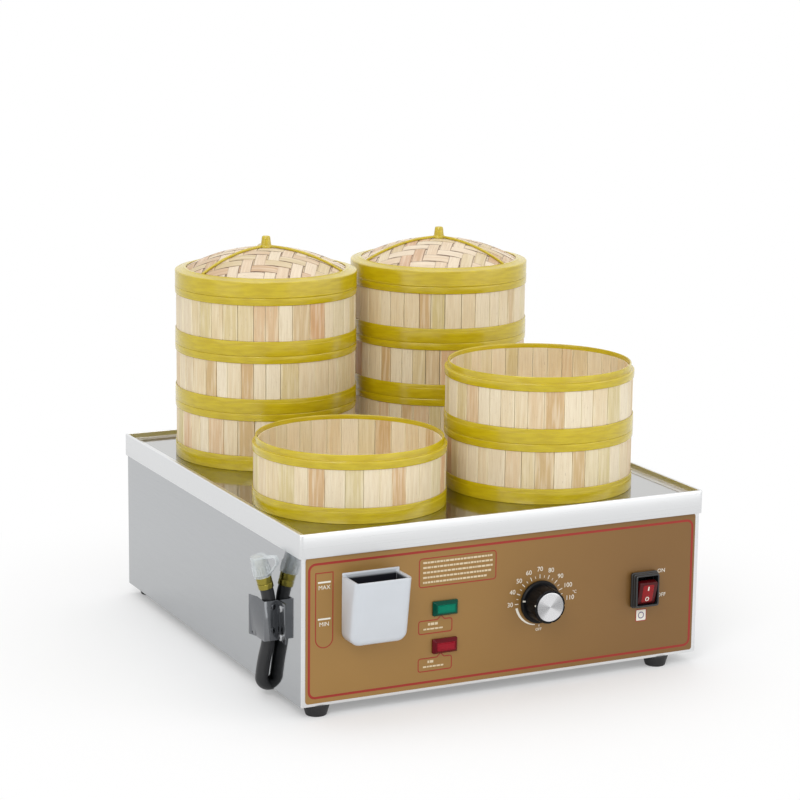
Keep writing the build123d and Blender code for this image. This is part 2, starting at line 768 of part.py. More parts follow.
def make_drain_elbow():
    corner = hose_start - hose_start_direction * ((hose_start.X - drain_pipe_x) / hose_start_direction.X)
    points = [(drain_pipe_x, drain_y, tank_bottom_height), tuple(corner), tuple(hose_start)]
    elbow = tube_along(points, drain_elbow_bend, drain_pipe_radius)
    elbow += rod(drain_barb_radius, hose_start, hose_start_direction, drain_barb_length)
    points[-1] = tuple(hose_start + hose_start_direction * drain_barb_length)
    return elbow - tube_along(points, drain_elbow_bend, drain_pipe_bore)


def make_drain_hose():
    return tube_along(hose_route, hose_radii, hose_outer_radius, hose_inner_radius)


def along_hose_end(distance):
    """A plane square to the hose's top end, at a distance past it."""
    return Plane(origin=hose_end + hose_end_direction * distance, z_dir=hose_end_direction)


def make_hose_fitting():
    lift = (Align.CENTER, Align.CENTER, Align.MIN)
    body_end = fitting_groove + fitting_body_length
    fitting = along_hose_end(0) * Cylinder(fitting_radius, body_end, align=lift)
    groove = Cylinder(fitting_radius, fitting_groove, align=lift)
    groove -= Cylinder(fitting_radius - fitting_groove, fitting_groove, align=lift)
    fitting -= along_hose_end(fitting_groove / 2) * groove
    ferrule = Cylinder(fitting_radius, fitting_ferrule_length, align=lift)
    ferrule -= Cylinder(hose_outer_radius + fitting_ferrule_gap, fitting_ferrule_length, align=lift)
    fitting += along_hose_end(-fitting_ferrule_length) * ferrule
    fitting += along_hose_end(-fitting_barb_length) * Cylinder(drain_barb_radius, fitting_barb_length, align=lift)
    fitting += along_hose_end(body_end) * Cylinder(fitting_nozzle_radius, fitting_nozzle_length, align=lift)
    whole = fitting_barb_length + body_end + fitting_nozzle_length
    return fitting - along_hose_end(-fitting_barb_length) * Cylinder(drain_pipe_bore, whole, align=lift)


def make_drain_cap():
    lift = (Align.CENTER, Align.CENTER, Align.MIN)
    base = fitting_groove + fitting_body_length
    ring = Cylinder(cap_base_radius, strap_ring_height, align=lift)
    cap_base = strap_ring_height + cap_gap
    cup = Pos(0, 0, cap_base) * Cone(cap_base_radius, cap_top_radius, cap_length - cap_base, align=lift)
    rib = Pos(0, 0, cap_base) * Cylinder(cap_rib_radius, cap_rib_length, align=lift)
    for index in range(cap_rib_count):
        cup += Rot(0, 0, 360 / cap_rib_count * index) * Pos(cap_base_radius - cap_rib_radius / 2, 0, 0) * rib
    cup = fillet(cup.edges().filter_by(GeomType.CIRCLE).sort_by(Axis.Z)[-1], cap_edge_radius)
    bore = Cylinder(fitting_nozzle_radius + cap_gap, cap_length - cap_roof, align=lift)
    outer = cap_base_radius + strap_reach
    strap_path = FilletPolyline((cap_base_radius - strap_root, 0, strap_ring_height / 2),
                                (outer, 0, cap_length - 2 * cap_roof),
                                (outer - strap_top_inset, 0, cap_length + cap_roof / 2),
                                (cap_top_radius / 2, 0, cap_length - cap_roof / 2),
                                radius=[strap_outer_bend, strap_top_bend])
    start = Plane(origin=strap_path @ 0, x_dir=(0, 1, 0), z_dir=strap_path % 0)
    strap = sweep(start * Rectangle(strap_width, strap_thickness), path=strap_path)
    cap = ring + cup + strap - bore
    place = along_hose_end(base)
    frame = Plane(origin=place.origin, x_dir=Vector(1, 0, 0).rotate(Axis.Z, strap_direction), z_dir=place.z_dir)
    return frame * cap


# Clip: a flange on the side, a web, a cover plate outside the hose and a flared lip
def make_hose_clip():
    outside = side_x - clip_sheet - clip_channel
    cover_back = clip_web_y + clip_cover_width
    height = clip_height
    outline = [
        (side_x, clip_web_y - clip_flange_width), (side_x, clip_web_y + clip_sheet),
        (outside + clip_sheet, clip_web_y + clip_sheet), (outside + clip_sheet, cover_back),
        (outside + clip_sheet - clip_lip_flare, cover_back + clip_lip_length),
        (outside - clip_lip_flare, cover_back + clip_lip_length),
        (outside, cover_back), (outside, clip_web_y),
        (side_x - clip_sheet, clip_web_y), (side_x - clip_sheet, clip_web_y - clip_flange_width),
    ]
    clip = Pos(0, 0, clip_bottom) * extrude(make_face(Polyline(*outline, close=True)), amount=height)
    for z in clip_screw_heights:
        clip -= rod(screw_hole_radius, (side_x, clip_screw_y, z), (-1, 0, 0), clip_sheet)
    lip_hole = (side_x, cover_back + clip_lip_length / 2, clip_bottom + clip_lip_hole_height)
    return clip - rod(clip_lip_hole_radius, lip_hole, (-1, 0, 0), 2 * clip_channel)


# Supply entry, terminal block and dry-boil cutout
def make_cord_gland():
    wall_in = body_half_y - shell_sheet
    stub_start = (gland_x, wall_in - gland_nut_thickness, gland_height)
    stub = rod(gland_thread_radius, stub_start, (0, 1, 0), gland_nut_thickness + shell_sheet)
    flange = Plane(origin=(gland_x, body_half_y, gland_height), z_dir=(0, 1, 0)) * extrude(
        RegularPolygon(gland_flange_radius, 6), amount=gland_flange_thickness)
    dome = rod(gland_dome_radius, (gland_x, body_half_y + gland_flange_thickness, gland_height), (0, 1, 0),
               gland_dome_length)
    dome = fillet(dome.edges().filter_by(GeomType.CIRCLE).sort_by(Axis.Y)[-1], gland_bore_radius)
    body = stub + flange + dome
    body -= rod(gland_bore_radius, stub_start, (0, 1, 0), gland_length)
    nut = Plane(origin=stub_start, z_dir=(0, 1, 0)) * extrude(
        RegularPolygon(gland_nut_radius, 6) - Circle(gland_thread_radius + shaft_running_gap),
        amount=gland_nut_thickness)
    return [body, nut]


gland_length = gland_nut_thickness + shell_sheet + gland_flange_thickness + gland_dome_length


def make_terminal_block():
    back = body_half_y - terminal_block_back_gap
    x0 = terminal_block_x - terminal_block_width / 2
    body = block(x0, x0 + terminal_block_width, back - terminal_block_depth, back,
                 base_top, base_top + terminal_block_height)
    pitch = terminal_block_width / terminal_way_count
    top = base_top + terminal_block_height
    for way in range(terminal_way_count):
        x = x0 + pitch * (way + 0.5)
        for row in (0.25, 0.75):
            body -= rod(terminal_well_radius, (x, back - terminal_block_depth * row, top), (0, 0, -1),
                        terminal_well_depth)
    return body


def make_dry_boil_cutout():
    top = (0, cutout_y, tank_bottom_height)
    body = rod(cutout_radius, top, (0, 0, -1), cutout_height)
    for x in (-1, 1):
        body += block(x * cutout_radius / 2 - switch_tab_width / 4, x * cutout_radius / 2 + switch_tab_width / 4,
                      cutout_y - switch_tab_thickness / 2, cutout_y + switch_tab_thickness / 2,
                      tank_bottom_height - cutout_height - cutout_tab_length, tank_bottom_height - cutout_height)
    return body


# Baskets and lids
def make_basket_hoops():
    bottom = turned([
        (basket_recess_radius, 0), (basket_radius, 0), (basket_radius, basket_band_height),
        (basket_band_inner, basket_band_height), (basket_band_inner, basket_shelf_height),
        (basket_shelf_radius, basket_shelf_height), (basket_shelf_radius, basket_recess_depth),
        (basket_recess_radius, basket_recess_depth),
    ], 0)
    plate_bottom = basket_pitch - basket_top_plate
    spigot_top = basket_pitch + basket_spigot_rise
    top = turned([
        (basket_radius, basket_pitch - basket_top_band_height), (basket_radius, basket_pitch),
        (basket_spigot_radius, basket_pitch), (basket_spigot_radius, spigot_top),
        (basket_spigot_inner, spigot_top), (basket_spigot_inner, plate_bottom),
        (basket_band_inner, plate_bottom), (basket_band_inner, basket_pitch - basket_top_band_height),
    ], 0)
    return [bottom, top]


def make_basket_wall():
    height = basket_pitch - basket_top_plate - basket_shelf_height
    section = RegularPolygon(basket_wall_outer, basket_slat_count) - Circle(basket_wall_inner)
    lining = Circle(basket_lining_radius) - Circle(basket_wall_inner)
    lining_height = basket_pitch + basket_lining_rise - basket_shelf_height
    return Pos(0, 0, basket_shelf_height) * (extrude(section, amount=height) + extrude(lining, amount=lining_height))


def make_basket_floor():
    section = Circle(basket_floor_radius)
    slot_reach = basket_floor_radius - basket_floor_slot_margin
    count = ceil(slot_reach / basket_floor_slot_pitch)
    for index in range(-count, count + 1):
        offset = index * basket_floor_slot_pitch
        chord = slot_reach ** 2 - offset ** 2
        if chord > basket_floor_slot_pitch ** 2:
            section -= Pos(0, offset) * Rectangle(2 * sqrt(chord), basket_floor_slot)
    return Pos(0, 0, basket_shelf_height) * extrude(section, amount=basket_floor_thickness)


lid_sphere_z = lid_ring_height + lid_dome_lip_rise - sqrt(lid_sphere_radius ** 2 - lid_lip_radius ** 2)
lid_dome_top = lid_sphere_z + lid_sphere_radius


def lid_ball(radius):
    """The whole ball that a lid's dome, or a skin above or below it, is cut from."""
    return Pos(0, 0, lid_sphere_z) * Sphere(radius)


def dome_height(radius):
    """How high the dome's outer face stands at a distance from its middle."""
    return lid_sphere_z + sqrt(lid_sphere_radius ** 2 - radius ** 2)


def make_lid_frame():
    lip_top = lid_ring_height + lid_lip_rise
    frame = turned([
        (basket_recess_radius, 0), (basket_radius, 0), (basket_radius, lid_ring_height),
        (lid_lip_radius + lid_lip_bead, lip_top), (lid_lip_radius, lip_top),
        (lid_lip_radius, dome_height(lid_lip_radius) + lid_dome_gap),
        (lid_wall_radius, dome_height(lid_dome_edge_radius) + lid_dome_gap), (lid_wall_radius, basket_recess_depth),
        (basket_recess_radius, basket_recess_depth),
    ], 0)
    skin = lid_ball(lid_sphere_radius + lid_rib_height) - lid_ball(lid_sphere_radius + lid_rib_gap)
    plank = block(0, lid_lip_radius + lid_rib_grip, -lid_rib_width / 2, lid_rib_width / 2,
                  lid_ring_height, lid_dome_top + 2 * lid_rib_height)
    planks = plank
    for index in range(1, lid_rib_count):
        planks += Rot(0, 0, 360 / lid_rib_count * index) * plank
    frame += skin & planks
    boss_base = lid_dome_top - lid_boss_depth
    boss_top = lid_dome_top + lid_rib_height
    lift = (Align.CENTER, Align.CENTER, Align.MIN)
    boss = Pos(0, 0, boss_base) * Cylinder(lid_boss_radius, boss_top - boss_base, align=lift)
    boss -= lid_ball(lid_sphere_radius + lid_rib_gap)
    peg = Cone(lid_peg_radius, lid_peg_tip_radius, lid_peg_rise - lid_rib_height, align=lift)
    peg = fillet(peg.edges().filter_by(GeomType.CIRCLE).sort_by(Axis.Z)[-1], lid_peg_edge_radius)
    return frame + boss + Pos(0, 0, boss_top) * peg


def make_lid_dome():
    column = Pos(0, 0, basket_recess_depth) * Cylinder(lid_dome_edge_radius, 2 * lid_dome_top,
                                                       align=(Align.CENTER, Align.CENTER, Align.MIN))
    return (lid_ball(lid_sphere_radius) - lid_ball(lid_sphere_radius - lid_dome_thickness)) & column


# Assembly
nodes["tray_top"] = make_tray()
nodes["body_shell"] = make_shell()
nodes["front_panel"] = make_front_panel()
nodes["front_overlay"] = make_front_overlay()
nodes["bottom_plate"] = make_bottom_plate()
nodes["feet"] = make_feet()
nodes["screws"] = make_screws()
nodes["water_tank"] = make_tank()
nodes["heating_element"] = make_element()
nodes["thermostat_body"] = make_thermostat_body()
nodes["thermostat_probe"] = make_thermostat_probe()
nodes["knob_shaft"] = make_knob_shaft()
nodes["knob_grip"] = make_knob_grip()
nodes["knob_cap"] = make_knob_cap()
nodes["switch_body"] = make_switch_body()
nodes["switch_boot"] = make_switch_boot()
nodes["switch_rocker"] = make_rocker()
for colour, height in lamp_heights.items():
    nodes[colour + "_lamp"] = make_lamp(height)
nodes["filler_box"] = make_filler_box()
nodes["filler_spout"] = make_filler_spout()
nodes["drain_elbow"] = make_drain_elbow()
nodes["drain_hose"] = make_drain_hose()
nodes["hose_fitting"] = make_hose_fitting()
nodes["drain_cap"] = make_drain_cap()
nodes["hose_clip"] = make_hose_clip()
nodes["cord_gland"] = make_cord_gland()
nodes["terminal_block"] = make_terminal_block()
nodes["dry_boil_cutout"] = make_dry_boil_cutout()

basket_pieces = {"hoops": make_basket_hoops(), "wall": make_basket_wall(), "floor": make_basket_floor()}
lid_pieces = {"frame": make_lid_frame(), "dome": make_lid_dome()}


def placed(piece, place):
    """Moves one solid, or each solid of a group, to its place."""
    return [place * solid for solid in piece] if isinstance(piece, list) else place * piece


for stack, tiers in tier_count.items():
    shift_x, shift_y = stack_shifts[stack]
    stack_x = steam_hole_pitch_x / 2 * (1 if stack.endswith("right") else -1) + shift_x
    stack_y = steam_hole_pitch_y / 2 * (1 if stack.startswith("rear") else -1) + shift_y
    for tier in range(tiers):
        place = Pos(stack_x, stack_y, floor_top + tier * basket_pitch)
        for name, piece in basket_pieces.items():
            nodes[f"{stack}_basket_{tier + 1}_{name}"] = placed(piece, place)
    if stack in lid_turns:
        place = Pos(stack_x, stack_y, floor_top + tiers * basket_pitch) * Rot(0, 0, lid_turns[stack])
        for name, piece in lid_pieces.items():
            nodes[f"{stack}_lid_{name}"] = placed(piece, place)

# The origin is the bottom centre of the whole object's box
solids = [solid for shape in nodes.values() for solid in (shape if isinstance(shape, list) else [shape])]
boxes = [solid.bounding_box() for solid in solids]
datum_x = -(min(box.min.X for box in boxes) + max(box.max.X for box in boxes)) / 2
datum_y = -(min(box.min.Y for box in boxes) + max(box.max.Y for box in boxes)) / 2
for node, shape in nodes.items():
    moved = placed(shape, Pos(datum_x, datum_y, 0))
    export_step(Compound(moved) if isinstance(moved, list) else moved, f"parts/{node}.step")

print("hose radii", [round(radius, 1) for radius in hose_radii])
print("origin moved by", round(datum_x, 3), round(datum_y, 3))
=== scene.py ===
"""Looks of an electric bun steamer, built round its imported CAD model.

A steel cabinet with a printed control panel and a drain hose stands under a tray, and bamboo baskets with
plastic hoops and woven lids stand on the tray. Sizes are in millimetres and turn into metres in Solid.piece.
"""
import json
import logging
import math
import random
from dataclasses import dataclass, field
from enum import Enum
from typing import Callable, Optional, Sequence, Union

import bmesh
import bpy
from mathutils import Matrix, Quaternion, Vector

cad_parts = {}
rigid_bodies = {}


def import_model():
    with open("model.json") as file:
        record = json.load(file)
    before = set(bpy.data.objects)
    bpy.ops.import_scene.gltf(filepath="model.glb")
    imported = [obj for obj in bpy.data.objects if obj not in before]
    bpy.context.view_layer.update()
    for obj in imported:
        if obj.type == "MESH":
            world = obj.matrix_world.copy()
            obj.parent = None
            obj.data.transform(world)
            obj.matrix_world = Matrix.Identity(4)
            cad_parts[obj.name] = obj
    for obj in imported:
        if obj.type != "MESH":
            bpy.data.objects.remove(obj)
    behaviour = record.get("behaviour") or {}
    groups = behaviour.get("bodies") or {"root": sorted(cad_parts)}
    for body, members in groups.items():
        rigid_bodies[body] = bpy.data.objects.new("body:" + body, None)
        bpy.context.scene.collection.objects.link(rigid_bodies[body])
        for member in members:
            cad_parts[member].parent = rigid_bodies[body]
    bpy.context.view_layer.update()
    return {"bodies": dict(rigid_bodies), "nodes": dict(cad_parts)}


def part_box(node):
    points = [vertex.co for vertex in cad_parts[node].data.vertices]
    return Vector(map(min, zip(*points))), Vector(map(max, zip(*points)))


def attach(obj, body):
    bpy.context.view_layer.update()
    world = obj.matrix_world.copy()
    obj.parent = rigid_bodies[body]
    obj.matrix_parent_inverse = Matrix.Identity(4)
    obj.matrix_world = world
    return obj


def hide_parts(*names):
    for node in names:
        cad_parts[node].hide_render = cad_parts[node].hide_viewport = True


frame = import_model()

log = logging.getLogger("steamer")
MM = 0.001
# The mesh attribute that holds a point's across, along and tone
GRAIN = "grain"
# How many tones bamboo has, how far a strip's edges lie from its tone, and the longest start along its fibres
TONES = 40
EDGE_REACH = 0.45
FIBRE_RUN = 400.0
# A colour Mix node's sockets
MIX_FIRST, MIX_SECOND, MIX_RESULT = 6, 7, 2
# The edge angles past which a moulded, a printed and a round piece stay sharp
CREASE, PRINT_CREASE, FINE_CREASE, ROUND_CREASE = 38.0, 20.0, 30.0, 50.0
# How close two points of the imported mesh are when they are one, in metres
WELD = 2e-6


class Ink(Enum):
    """Inks on the control panel."""

    RED = "red"
    WHITE = "white"
    TAN = "tan"
    VIOLET = "violet"


class Weave(Enum):
    """The two ways that a lid's strips run."""

    ACROSS = 0
    ALONG = 1


class Wire:
    """A value on its way through a material's nodes; arithmetic on it adds Math nodes."""

    def __init__(self, shader: "Shader", socket: bpy.types.NodeSocket) -> None:
        """Keeps the socket and the shader that it belongs to."""
        self.shader = shader
        self.socket = socket

    def _math(self, operation: str, *values: Union[float, "Wire"]) -> "Wire":
        """Adds one Math node.

        Args:
            operation: the Math node's operation.
            values: its inputs, in order.

        Returns:
            The node's result.
        """
        return self.shader.node("ShaderNodeMath", {"operation": operation}, dict(enumerate(values)))

    def __add__(self, other: Union[float, "Wire"]) -> "Wire":
        """Adds."""
        return self._math("ADD", self, other)

    def __radd__(self, other: float) -> "Wire":
        """Adds, number first."""
        return self._math("ADD", other, self)

    def __sub__(self, other: Union[float, "Wire"]) -> "Wire":
        """Subtracts."""
        return self._math("SUBTRACT", self, other)

    def __rsub__(self, other: float) -> "Wire":
        """Subtracts from a number."""
        return self._math("SUBTRACT", other, self)

    def __mul__(self, other: Union[float, "Wire"]) -> "Wire":
        """Multiplies."""
        return self._math("MULTIPLY", self, other)

    def __rmul__(self, other: float) -> "Wire":
        """Multiplies, number first."""
        return self._math("MULTIPLY", other, self)

    def __truediv__(self, other: Union[float, "Wire"]) -> "Wire":
        """Divides."""
        return self._math("DIVIDE", self, other)

    def __lt__(self, other: Union[float, "Wire"]) -> "Wire":
        """1 where this is below the other, else 0."""
        return self._math("LESS_THAN", self, other)

    def __gt__(self, other: Union[float, "Wire"]) -> "Wire":
        """1 where this is above the other, else 0."""
        return self._math("GREATER_THAN", self, other)

    def __abs__(self) -> "Wire":
        """The size without its sign."""
        return self._math("ABSOLUTE", self)

    def whole(self) -> "Wire":
        """The nearest whole number."""
        return self._math("ROUND", self)

    def cosine(self) -> "Wire":
        """The cosine of an angle."""
        return self._math("COSINE", self)

    def bearing(self, across: "Wire") -> "Wire":
        """The angle of a direction from its upward part, which is this, and its part across."""
        return self._math("ARCTAN2", self, across)

    def spread(self, low: float, high: float, to_low: float = 0.0, to_high: float = 1.0) -> "Wire":
        """Maps a range smoothly onto another.

        Args:
            low: start of the range.
            high: end of the range.
            to_low: result at the start.
            to_high: result at the end.

        Returns:
            The mapped value, held at its ends.
        """
        inputs = {"Value": self, "From Min": low, "From Max": high, "To Min": to_low, "To Max": to_high}
        return self.shader.node("ShaderNodeMapRange", {"interpolation_type": "SMOOTHSTEP"}, inputs)


Colour = tuple[float, float, float]
Amount = Union[float, Wire]
Tint = Union[Colour, Wire]


def srgb(red: int, green: int, blue: int) -> Colour:
    """Turns a screen colour of 0 to 255 into linear light."""
    parts = [value / 255 for value in (red, green, blue)]
    return tuple(p / 12.92 if p <= 0.04045 else ((p + 0.055) / 1.055) ** 2.4 for p in parts)


def dimmed(colour: Colour, share: float) -> Colour:
    """A colour brought down to a share of its light."""
    return tuple(share * part for part in colour)


def opaque(colour: Tint) -> Union[tuple[float, ...], Wire]:
    """Gives a plain colour the fourth number that a colour socket holds."""
    return colour if isinstance(colour, Wire) else (*colour, 1.0)


class Shader:
    """One material and the nodes that it is made of."""

    def __init__(self, name: str, world: Optional[bpy.types.World] = None) -> None:
        """Starts a material with a Principled shader, or fills a world's nodes."""
        self.material = world or bpy.data.materials.new(name)
        self.material.use_nodes = True
        self.tree = self.material.node_tree
        self.surface = self.tree.nodes["Background" if world else "Principled BSDF"]

    def node(self, kind: str, settings: Optional[dict] = None, inputs: Optional[dict] = None,
             output: Union[int, str] = 0) -> Wire:
        """Adds one node.

        Args:
            kind: the node's type.
            settings: its properties, set first; "stops" is a ramp's list of places and colours.
            inputs: values or wires for its sockets, by name or number.
            output: the socket that is wanted from it.

        Returns:
            The wanted output.
        """
        made = self.tree.nodes.new(kind)
        for name, value in (settings or {}).items():
            if name == "stops":
                self._stops(made.color_ramp, value)
            else:
                setattr(made, name, value)
        for key, value in (inputs or {}).items():
            self.plug(made.inputs[key], value)
        return Wire(self, made.outputs[output])

    def _stops(self, ramp: bpy.types.ColorRamp, stops: Sequence[tuple[float, Tint]]) -> None:
        """Fills a colour ramp with places and colours."""
        for extra in range(len(stops) - len(ramp.elements)):
            ramp.elements.new((extra + 1) / len(stops))
        for element, (place, colour) in zip(ramp.elements, stops):
            element.position = place
            element.color = opaque(colour)

    def plug(self, socket: bpy.types.NodeSocket, value: Union[Amount, tuple]) -> None:
        """Links a wire to a socket, or sets the socket's own value."""
        if isinstance(value, Wire):
            self.tree.links.new(value.socket, socket)
        else:
            socket.default_value = value

    def set(self, **values: Union[Amount, Tint]) -> "Shader":
        """Sets the Principled shader's sockets; a name's underscores stand for spaces."""
        for name, value in values.items():
            socket = self.surface.inputs[name.replace("_", " ")]
            self.plug(socket, opaque(value) if isinstance(value, tuple) and len(value) == 3 else value)
        return self

    def place(self, scale: Sequence[float] = (1, 1, 1)) -> Wire:
        """The place on the object, stretched along each axis."""
        spot = self.node("ShaderNodeTexCoord", output="Object")
        return self.node("ShaderNodeVectorMath", {"operation": "MULTIPLY"}, {0: spot, 1: tuple(scale)})

    def stored(self, scale: Sequence[float] = (1, 1, 1)) -> Wire:
        """The grain place kept in the mesh, stretched along each axis."""
        kept = self.node("ShaderNodeAttribute", {"attribute_name": GRAIN}, output="Vector")
        return self.node("ShaderNodeVectorMath", {"operation": "MULTIPLY"}, {0: kept, 1: tuple(scale)})

    def part(self, vector: Wire, axis: str) -> Wire:
        """One part of a vector, by its letter."""
        return self.node("ShaderNodeSeparateXYZ", None, {0: vector}, output=axis)

    def noise(self, vector: Wire, scale: float, detail: float = 3.0, roughness: float = 0.55) -> Wire:
        """Smooth noise between 0 and 1."""
        return self.node("ShaderNodeTexNoise", None,
                         {"Vector": vector, "Scale": scale, "Detail": detail, "Roughness": roughness})

    def ramp(self, value: Wire, stops: Sequence[tuple[float, Tint]]) -> Wire:
        """A colour from a ramp."""
        return self.node("ShaderNodeValToRGB", {"stops": stops}, {0: value})

    def mix(self, factor: Amount, first: Tint, second: Tint, blend: str = "MIX") -> Wire:
        """Blends two colours.

        Args:
            factor: share of the second.
            first: the colour at 0.
            second: the colour at 1.
            blend: how they blend.

        Returns:
            The blended colour.
        """
        sockets = {"Factor": factor, MIX_FIRST: opaque(first), MIX_SECOND: opaque(second)}
        return self.node("ShaderNodeMix", {"data_type": "RGBA", "blend_type": blend}, sockets, MIX_RESULT)

    def unevenness(self) -> Wire:
        """A soft cloud over the surface, for plastic that isn't quite even."""
        return self.noise(self.place(), 35.0, 2.0)

    def bump(self, height: Wire, depth_mm: float, strength: float) -> Wire:
        """A normal bent by a height between 0 and 1."""
        return self.node("ShaderNodeBump", None,
                         {"Height": height, "Strength": strength, "Distance": depth_mm * MM})


@dataclass(frozen=True)
class Finish:
    """A finish that turns into one material."""

    name: str

    def dress(self, shader: Shader) -> None:
        """Sets the shader's sockets."""
        raise NotImplementedError

    def material(self) -> bpy.types.Material:
        """Makes the material, or finds it if it is made."""
        look = self.name + "_look"
        made = bpy.data.materials.get(look)
        if made is None:
            shader = Shader(look)
            self.dress(shader)
            made = shader.material
        return made


@dataclass(frozen=True)
class Sheet(Finish):
    """Stainless sheet, brushed along an axis."""

    tone: Colour
    roughness: float
    grain: tuple[float, float, float]
    grain_strength: float
    streak: float = 0.93

    def dress(self, shader: Shader) -> None:
        """Fine streaks vary the roughness, the tone and the normal."""
        fine = shader.noise(shader.place(self.grain), 1.0, 2.0)
        cloud = shader.noise(shader.place(), 9.0, 2.0)
        shader.set(Base_Color=shader.mix(fine, dimmed(self.tone, self.streak), self.tone), Metallic=1.0,
                   Roughness=fine * (0.5 * self.grain_strength) + cloud * 0.04 + self.roughness,
                   Normal=shader.bump(fine, 0.04 * self.grain_strength, 0.4))


@dataclass(frozen=True)
class PrintedSheet(Finish):
    """Satin coloured film on sheet metal, with a faint brushed grain."""

    tone: Colour
    # The painted shade that the film's tone falls off into along X
    painted_shade: Colour
    start: float
    end: float
    grain: tuple[float, float, float] = (60, 60, 2600)
    grain_tone: Colour = (0.5, 0.4, 0.25)

    def dress(self, shader: Shader) -> None:
        """The tone falls off along X into painted shade, and a fine grain crosses it."""
        along = shader.part(shader.place(), "X").spread(self.start, self.end)
        fine = shader.noise(shader.place(self.grain), 1.0, 2.0)
        tone = shader.mix(along, self.tone, self.painted_shade)
        shader.set(Base_Color=shader.mix(fine * 0.12, tone, self.grain_tone, "SOFT_LIGHT"), Metallic=0.25,
                   Roughness=fine * 0.12 + 0.34, Coat_Weight=0.15, Normal=shader.bump(fine, 0.02, 0.25))


@dataclass(frozen=True)
class Moulded(Finish):
    """Moulded plastic, rubber or ink."""

    tone: Colour
    roughness: float
    texture: float = 0.02
    scale: float = 900.0
    coat: float = 0.0
    shine: float = 0.5
    shade: float = 0.86

    def dress(self, shader: Shader) -> None:
        """A fine texture on the skin and a faint unevenness in tone."""
        skin = shader.noise(shader.place(), self.scale, 2.0)
        cloud = shader.unevenness()
        tone = shader.mix(cloud, dimmed(self.tone, self.shade), self.tone)
        shader.set(Base_Color=tone, Coat_Weight=self.coat,
                   Specular_IOR_Level=self.shine, Roughness=cloud * 0.1 + self.roughness,
                   Normal=shader.bump(skin, self.texture, 0.3))


@dataclass(frozen=True)
class Hopper(Finish):
    """Glossy white plastic with painted shade inside the filler's mouth."""

    tone: Colour
    # The colour of the painted shade inside the mouth
    inner: Colour
    low: Vector
    high: Vector
    wall: float = 2.8
    lip: float = 3.4
    fade: float = 3.0
    base: float = 6.0
    foot_reach: float = 24.0
    shade: float = 0.92

    def dress(self, shader: Shader) -> None:
        """The painted shade starts behind the sloping front wall and below the back lip."""
        spot = shader.place((1 / MM, 1 / MM, 1 / MM))
        across, back, rise = (shader.part(spot, axis) for axis in "XYZ")
        middle, half = (self.low.x + self.high.x) / 2, (self.high.x - self.low.x) / 2
        reach = self.high.y - self.low.y
        climb = (rise - self.low.z) * ((reach - self.foot_reach) / (self.high.z - self.low.z))
        front = self.high.y - self.foot_reach + self.wall - climb
        inside = (abs(across - middle) < half - self.wall) * (back > front) * (rise > self.low.z + self.base)
        brim = self.high.z - self.lip
        # The painted shade fades in over a short depth below the lip
        deep = rise.spread(brim - self.fade, brim, 1.0, 0.0) * inside
        cloud = shader.unevenness()
        skin = shader.mix(cloud, dimmed(self.tone, self.shade), self.tone)
        shader.set(Base_Color=shader.mix(deep, skin, self.inner), Coat_Weight=0.2,
                   Roughness=cloud * 0.1 + 0.26)


@dataclass(frozen=True)
class HoopPlastic(Finish):
    """Olive-yellow plastic of the hoops, a little see-through at its edges."""

    tone: Colour
    deep: Colour

    def dress(self, shader: Shader) -> None:
        """Long faint drag lines run round the hoop."""
        drag = shader.noise(shader.stored((0.012, 1.1, 1.0)), 1.0, 3.0)
        cloud = shader.noise(shader.stored((0.05, 0.3, 1.0)), 1.0, 2.0)
        shader.set(Base_Color=shader.mix(cloud.spread(0.3, 0.7), self.deep, self.tone), IOR=1.5,
                   Roughness=drag * 0.1 + 0.2, Coat_Weight=0.25, Coat_Roughness=0.12,
                   Normal=shader.bump(drag, 0.012, 0.3))


@dataclass(frozen=True)
class Bamboo(Finish):
    """Split bamboo: each strip has a tone of its own and fibres along it."""

    pale: Colour
    cream: Colour
    tan: Colour
    pink: Colour
    # The colour along a strip's sides; on the woven lids it is painted shadow in the gaps and crossings
    edge: Colour
    edge_share: float = 0.5
    fibre: float = 2.6
    mark: Colour = srgb(150, 116, 74)
    green_cast: Colour = (0.94, 1.02, 0.84)

    def dress(self, shader: Shader) -> None:
        """The mesh keeps each strip's across, along and tone, which place its fibres and edges."""
        kept = shader.part(shader.stored(), "Z")
        tone_step = kept.whole()
        aside = abs(kept - tone_step) * (1 / EDGE_REACH)
        green = tuple(0.5 * (a + b) * c for a, b, c in zip(self.cream, self.tan, self.green_cast))
        tone = shader.ramp(tone_step / TONES, [
            (0.0, self.cream), (0.22, self.pale), (0.4, self.cream), (0.55, green), (0.7, self.pale),
            (0.8, self.tan), (0.9, self.pink), (1.0, self.cream)])
        fibres = shader.noise(shader.stored((self.fibre, 0.03, 0)), 1.0, 4.0, 0.75)
        broad = shader.noise(shader.stored((0.32, 0.02, 0)), 1.0, 2.0)
        marks = shader.noise(shader.stored((1.1, 0.14, 0)), 1.0, 2.0).spread(0.66, 0.78)
        streaked = shader.mix(fibres.spread(0.4, 0.72) * 0.62, tone, dimmed(self.tan, 0.78))
        washed = shader.mix(broad.spread(0.42, 0.7) * 0.45, streaked, self.pale)
        marked = shader.mix(marks * 0.55, washed, self.mark)
        # Along each strip's sides the tone turns to the edge colour: pale on the slats, and on the lid's
        # woven strips dark painted shadow in the gaps and under the crossings
        rim = aside.spread(0.8, 0.97) * broad.spread(0.3, 0.6) * self.edge_share
        shader.set(Base_Color=shader.mix(rim, marked, self.edge), Roughness=fibres * 0.2 + 0.42,
                   Normal=shader.bump(fibres, 0.14, 0.5))


